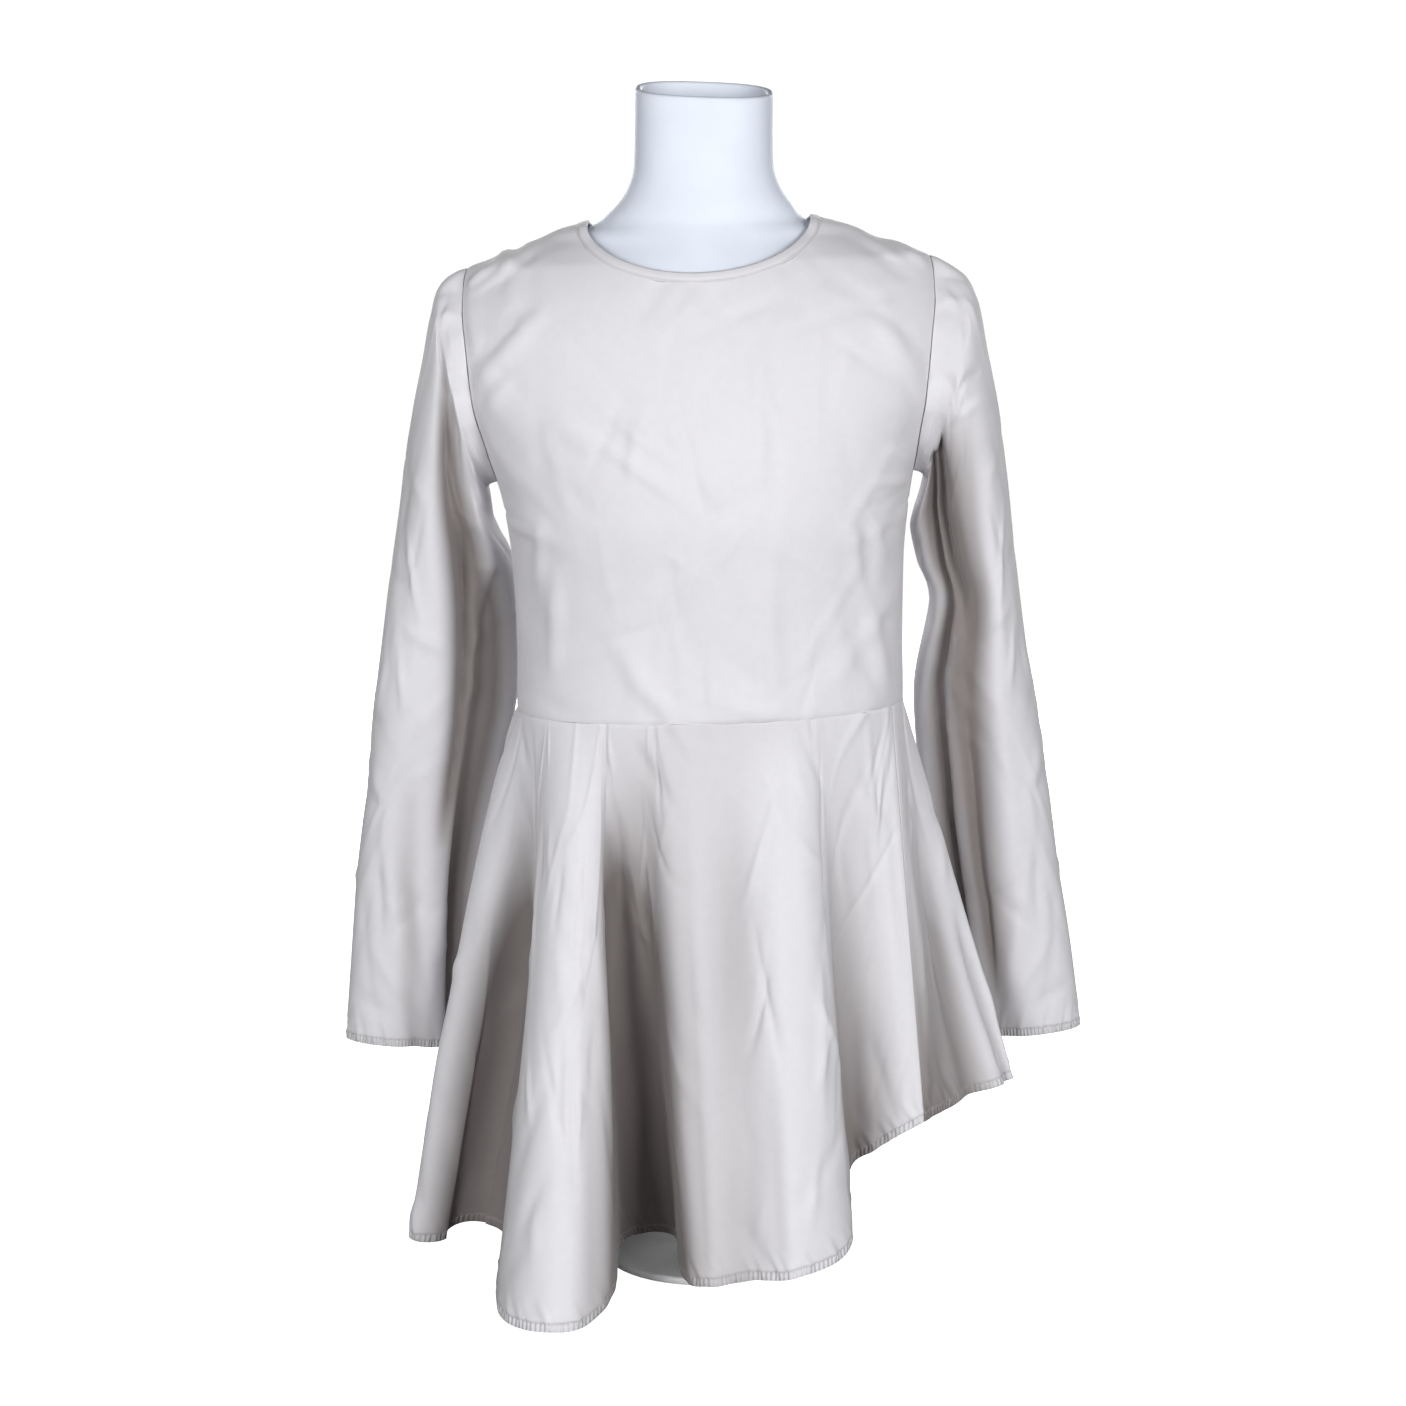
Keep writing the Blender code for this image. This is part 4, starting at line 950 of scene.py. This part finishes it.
def make_skirt(finish):
    """Skirt part: waist to hem rays, with finer folds and the puckers of the stitched hem."""
    for node, turn_from, turn_to, columns in (
            ("skirt_front", SKIRT_SEAM_RIGHT, SKIRT_SEAM_LEFT, SKIRT_FRONT_COLUMNS),
            ("skirt_back", SKIRT_SEAM_LEFT, SKIRT_SEAM_RIGHT + 360.0, SKIRT_BACK_COLUMNS)):
        even = np.linspace(turn_from, turn_to, columns - 1)
        turns = np.sort(np.concatenate((even, (turn_from + SEAM_STEP, turn_to - SEAM_STEP))))
        down = np.linspace(0.0, 1.0, SKIRT_ROWS + 1)
        grid = skirt_grid(np.radians(turns), down[:, None])
        deep = skirt_folds(*np.meshgrid(turns, down))
        # Strength of the painted fold shade, from the reach of the crests nearby and the depth of
        # the folds.
        shade = np.clip(fold_shade(grid) + deep / SKIRT_SHADE_DEPTH, 0.0, 1.0)
        across = lengths_across(grid, False)[None]
        from_seam = np.minimum(across, across[:, -1:] - across)
        deep += rumples(across, lengths_from(grid, True), "skirt")
        deep *= smoothstep(from_seam, 0.0, SEAM_CALM)
        deep += hem_puckers(lengths_from(grid, True), across)
        deep += edge_dip(from_seam)
        normal = normals_of(grid, False)
        facing = np.sign((normal * (grid - grid.mean(axis=(0, 1)))).sum())
        grid = grid - deep[..., None] * normal * facing
        cloth_piece(node, part_seams(grid), finish, flip=True, outwards=False,
                    shade=shade)


def skirt_folds(turn, down):
    """Sum of soft bumps along lines on the skirt, in degrees round and share of its length."""
    depth = np.zeros_like(turn)
    for turn_from, turn_to, start, end, deep, spread in SKIRT_CREASES:
        share = np.clip((down - start) / (end - start), 0.0, 1.0)
        line = turn_from + (turn_to - turn_from) * share
        lower = 1.0 if end >= 1.0 else 1.0 - smoothstep(share, *FOLD_EASE_OUT)
        fade = smoothstep(share, *FOLD_EASE_IN) * lower
        depth += deep * fade * np.exp(-((turn - line) / spread) ** 2)
    return depth


def make_form(finish):
    """Display form: body sections, a rim turned by half a circle, and the well inside it."""
    lowest = BODY["z"][0]
    rings = [form_ring(z) for z in np.linspace(lowest, NECK_TOP_Z - NECK_WALL, FORM_ROWS)]
    top = form_ring(NECK_TOP_Z)
    for angle in np.linspace(0.0, math.pi, RIM_ARC_STEPS + 1):
        ring = form_ring(NECK_TOP_Z, NECK_WALL / 2 * (1.0 - math.cos(angle)))
        ring[:, 2] = top[:, 2] - NECK_WALL / 2 * (1.0 - math.sin(angle))
        rings.append(ring)
    inside = form_ring(NECK_TOP_Z, NECK_WALL)
    inside[:, 2] = top[:, 2]
    for share in np.linspace(*WELL_SHARES):
        rings.append(inside - np.array([0.0, 0.0, NECK_WELL_DEPTH * share]))
    for shrink in WELL_FLOOR:
        ring = form_ring(NECK_TOP_Z, NECK_WALL + shrink)
        ring[:, 2] = top[:, 2] - NECK_WELL_DEPTH
        rings.append(ring)
    bottom = [form_ring(lowest, shrink) for shrink in FORM_END]
    grid = stance(np.array(bottom + rings))
    mesh = mesh_from("form_skin", grid, True, False)
    count = len(mesh.vertices)
    cap = np.arange(FORM_ROUND)
    closing = bpy.data.meshes.new("form_skin_closed")
    faces = [tuple(p.vertices) for p in mesh.polygons]
    faces.append(tuple(int(i) for i in cap[::-1]))
    faces.append(tuple(int(i) for i in count - FORM_ROUND + cap))
    closing.from_pydata(grid.reshape(-1, 3), [], faces)
    closing.shade_smooth()
    bpy.data.meshes.remove(mesh)
    place("form_skin", closing, "form_torso", finish)


def new_group(name, inputs, outputs):
    """An empty shader group with named sockets."""
    group = bpy.data.node_groups.new(name, "ShaderNodeTree")
    for title, kind, value in inputs:
        socket = group.interface.new_socket(title, in_out="INPUT", socket_type=kind)
        if value is not None:
            socket.default_value = value
    for title, kind in outputs:
        group.interface.new_socket(title, in_out="OUTPUT", socket_type=kind)
    return group, group.nodes.new("NodeGroupInput"), group.nodes.new("NodeGroupOutput")


def maths(tree, operation, first, second=None):
    """A Math node whose inputs are sockets or numbers."""
    node = tree.nodes.new("ShaderNodeMath")
    node.operation = operation
    for slot, value in enumerate((first, second)):
        if value is None:
            continue
        if isinstance(value, (int, float)):
            node.inputs[slot].default_value = value
        else:
            tree.links.new(value, node.inputs[slot])
    return node.outputs[0]


def across_cloth(group):
    """The cloth's own flat chart: distance across and distance from its edge."""
    chart = group.nodes.new("ShaderNodeUVMap")
    chart.uv_map = "cloth"
    parts = group.nodes.new("ShaderNodeSeparateXYZ")
    group.links.new(chart.outputs["UV"], parts.inputs[0])
    return parts.outputs["X"], parts.outputs["Y"]


def times(tree, first, second):
    """Product of two sockets or numbers."""
    return maths(tree, "MULTIPLY", first, second)


def speckle(tree, scale, detail):
    """Noise on the piece's own coordinates."""
    noise = tree.nodes.new("ShaderNodeTexNoise")
    noise.inputs["Detail"].default_value = detail
    where = tree.nodes.new("ShaderNodeTexCoord")
    tree.links.new(where.outputs["Object"], noise.inputs["Vector"])
    if isinstance(scale, float):
        noise.inputs["Scale"].default_value = scale
    else:
        tree.links.new(scale, noise.inputs["Scale"])
    return noise.outputs["Fac"]


def weave_group():
    """Plain weave: product of two sines a thread apart, with slubs of a stretched noise."""
    group, given, made = new_group(
        "fine_weave", (("Threads", "NodeSocketFloat", THREADS), ("Slub", "NodeSocketFloat", SLUBS)),
        (("Height", "NodeSocketFloat"), ("Mottle", "NodeSocketFloat")))
    warp, weft = (maths(group, "SINE", times(group, way, given.outputs["Threads"]))
                  for way in across_cloth(group))
    threads = times(group, warp, weft)
    slubs = speckle(group, given.outputs["Slub"], SLUB_DETAIL)
    height = maths(group, "ADD", times(group, threads, THREAD_SHARE), slubs)
    group.links.new(height, made.inputs["Height"])
    group.links.new(slubs, made.inputs["Mottle"])
    return group


def stitch_group():
    """Stitches: a narrow band at one distance from the edge, cut into dashes; ribs below it."""
    group, given, made = new_group(
        "stitch_row",
        (("Inset", "NodeSocketFloat", STITCH_IN), ("Pitch", "NodeSocketFloat", STITCH_PITCH)),
        (("Stitch", "NodeSocketFloat"), ("Groove", "NodeSocketFloat"), ("Ribs", "NodeSocketFloat")))
    edge = group.nodes.new("ShaderNodeAttribute")
    edge.attribute_name = "trim"
    trim, inset = edge.outputs["Fac"], given.outputs["Inset"]
    apart = maths(group, "ABSOLUTE", maths(group, "SUBTRACT", trim, inset))
    band = maths(group, "LESS_THAN", apart, STITCH_HALF_WIDTH)
    across = across_cloth(group)[0]
    along_row = maths(group, "FRACT", maths(group, "DIVIDE", across, given.outputs["Pitch"]))
    dash = maths(group, "LESS_THAN", along_row, STITCH_SHARE)
    group.links.new(times(group, band, dash), made.inputs["Stitch"])
    near = maths(group, "POWER", maths(group, "DIVIDE", apart, GROOVE_REACH), 2.0)
    groove = maths(group, "EXPONENT", times(group, near, -1.0))
    group.links.new(groove, made.inputs["Groove"])
    wave = maths(group, "SINE", times(group, across, RIB_TURNS))
    group.links.new(times(group, wave, maths(group, "LESS_THAN", trim, inset)), made.inputs["Ribs"])
    return group


def ramp(tree, factor, low, high):
    """Colour ramp between two colours."""
    node = tree.nodes.new("ShaderNodeValToRGB")
    for stop, colour, at in zip(node.color_ramp.elements, (low, high), RAMP_STOPS):
        stop.color = (*colour, 1.0)
        stop.position = at
    tree.links.new(factor, node.inputs["Fac"])
    return node.outputs["Color"]


def tinted(tree, factor, under, colour, way="MIX"):
    """A colour laid over another, or multiplied with it, by a factor."""
    node = tree.nodes.new("ShaderNodeMix")
    node.data_type = "RGBA"
    node.blend_type = way
    tree.links.new(factor, node.inputs["Factor"])
    tree.links.new(under, node.inputs["A"])
    node.inputs["B"].default_value = (*colour, 1.0)
    return node.outputs["Result"]


def raised(tree, shader, height, distance, strength):
    """Relief of a shader's surface."""
    bump = tree.nodes.new("ShaderNodeBump")
    bump.inputs["Distance"].default_value = distance
    bump.inputs["Strength"].default_value = strength
    tree.links.new(height, bump.inputs["Height"])
    tree.links.new(bump.outputs["Normal"], shader.inputs["Normal"])


def start_finish(name, **values):
    """A material whose main shader has these sockets set; its tree and shader come with it."""
    made = bpy.data.materials.new(name)
    made.use_nodes = True
    shader = made.node_tree.nodes["Principled BSDF"]
    for title, value in values.items():
        shader.inputs[title.replace("_", " ")].default_value = value
    return made, made.node_tree, shader


def cloth_finish(name, weave, stitches=None, inset=0.0, ribs=0.0):
    """Smooth satin-like weave in pale stone grey, with painted shade in folds and in the stitched
    groove.
    """
    made, tree, shader = start_finish(
        name, Roughness=CLOTH_ROUGHNESS, Specular_IOR_Level=CLOTH_SHINE, Sheen_Weight=SHEEN,
        Sheen_Roughness=SHEEN_ROUGHNESS, Sheen_Tint=SHEEN_TINT)
    threads = tree.nodes.new("ShaderNodeGroup")
    threads.node_tree = weave
    colour = ramp(tree, threads.outputs["Mottle"], CLOTH_DARK, CLOTH_LIGHT)
    height = times(tree, threads.outputs["Height"], WEAVE_HEIGHT)
    if stitches:
        # Painted shade in folds: the colour is multiplied darker by the fold mask.
        folds = tree.nodes.new("ShaderNodeAttribute")
        folds.attribute_name = "fold"
        colour = tinted(tree, folds.outputs["Fac"], colour, PAINTED_FOLD_SHADE, "MULTIPLY")
        row = tree.nodes.new("ShaderNodeGroup")
        row.node_tree = stitches
        row.inputs["Inset"].default_value = inset
        # Painted shade in the stitched groove: a darker colour laid in along it.
        colour = tinted(tree, times(tree, row.outputs["Groove"], PAINTED_GROOVE_SHADE_SHARE), colour, PAINTED_GROOVE_SHADE)
        for part, tall in (("Groove", GROOVE_HEIGHT), ("Stitch", STITCH_HEIGHT), ("Ribs", ribs)):
            height = maths(tree, "ADD", height, times(tree, row.outputs[part], tall))
    tree.links.new(colour, shader.inputs["Base Color"])
    raised(tree, shader, height, 1.0, CLOTH_RELIEF)
    return made


def moulded_finish(name):
    """Moulded or painted surface: two close tones and a faint orange-peel relief."""
    low, high, roughness, scale, relief = MOULDED[name]
    made, tree, shader = start_finish(name, Roughness=roughness, Specular_IOR_Level=MOULDED_SHINE)
    peel = speckle(tree, scale, MOULDED_DETAIL)
    tree.links.new(ramp(tree, peel, low, high), shader.inputs["Base Color"])
    raised(tree, shader, peel, relief, MOULDED_RELIEF)
    return made


def make_stage():
    """Pale round floor that turns up into a wall all round: a profile carried round Z."""
    middle, floor_end, bend, wall = 0.01, 5.0, 2.0, 9.0
    rise = np.linspace(0.0, math.pi / 2, STAGE_BEND_STEPS)
    radius = np.concatenate(([middle], floor_end + bend * np.sin(rise), [floor_end + bend]))
    height = np.concatenate(([0.0], bend * (1.0 - np.cos(rise)), [wall]))
    turns = np.linspace(0.0, 2 * math.pi, STAGE_ROUND, endpoint=False)
    grid = np.stack([radius[:, None] * np.cos(turns), radius[:, None] * np.sin(turns),
                     np.repeat(height[:, None], len(turns), 1)], -1)
    mesh = mesh_from("backdrop", grid, True, True)
    floor = linked("backdrop", mesh)
    mesh.materials.append(start_finish(
        "backdrop_white", Roughness=BACKDROP_ROUGHNESS, Specular_IOR_Level=0.0,
        Base_Color=BACKDROP_COLOUR, Emission_Color=WHITE, Emission_Strength=BACKDROP_GLOW)[0])
    floor.visible_diffuse = False
    floor.visible_glossy = False


def area_light(name, at, towards, size, power):
    """A square soft light that faces a point."""
    light = bpy.data.lights.new(name, "AREA")
    light.size = size
    light.energy = power
    lamp = linked(name, light)
    lamp.location = at
    lamp.rotation_euler = (Vector(towards) - Vector(at)).to_track_quat("-Z", "Y").to_euler()


def make_lights():
    """Broad soft lights well to either side, in front and behind, a weak one above, a dim sky."""
    for name, at, size, power in LIGHTS:
        area_light(name, at, LIT_POINT, size, power)
    world = bpy.data.worlds.new("studio")
    world.use_nodes = True
    sky = world.node_tree.nodes["Background"]
    sky.inputs["Color"].default_value = WHITE
    sky.inputs["Strength"].default_value = SKY_STRENGTH
    bpy.context.scene.world = world


def make_camera():
    """The photograph's viewpoint: level with the waist, a little above it."""
    camera = bpy.data.cameras.new("view")
    camera.sensor_width = SENSOR_MM
    camera.lens = FOCAL_PIXELS / PICTURE_PIXELS * SENSOR_MM
    seen = linked("view", camera)
    seen.location = (0.0, -CAMERA_DISTANCE * math.cos(CAMERA_ELEVATION),
                     CAMERA_HEIGHT + CAMERA_DISTANCE * math.sin(CAMERA_ELEVATION))
    seen.rotation_euler = (math.pi / 2 - CAMERA_ELEVATION, 0.0, 0.0)
    bpy.context.scene.camera = seen


def finish_node(node, finish):
    """Give a node that keeps its own mesh a better material."""
    slots = bpy.data.objects[node].data.materials
    slots.clear()
    slots.append(finish)


bpy.context.scene.view_settings.view_transform = "Standard"
make_camera()
weave, stitches = weave_group(), stitch_group()
plain_cloth = cloth_finish("stone_cloth_plain", weave)
hemmed_cloth = cloth_finish("stone_cloth_hemmed", weave, stitches, STITCH_IN, RIB_HEIGHT)
band_cloth = cloth_finish("stone_cloth_band", weave, stitches, BAND_STITCH_IN)
pole_white, pearl = moulded_finish("pole_white_paint"), moulded_finish("button_pearl")

neck_edges = make_bodice(plain_cloth)
make_binding(band_cloth, neck_edges)
make_sleeves(hemmed_cloth)
make_skirt(hemmed_cloth)
make_form(moulded_finish("form_white"))
for node, finish in (("form_pole", pole_white), ("form_base", pole_white),
                     ("back_button", pearl), ("button_loop", plain_cloth)):
    finish_node(node, finish)
make_stage()
make_lights()
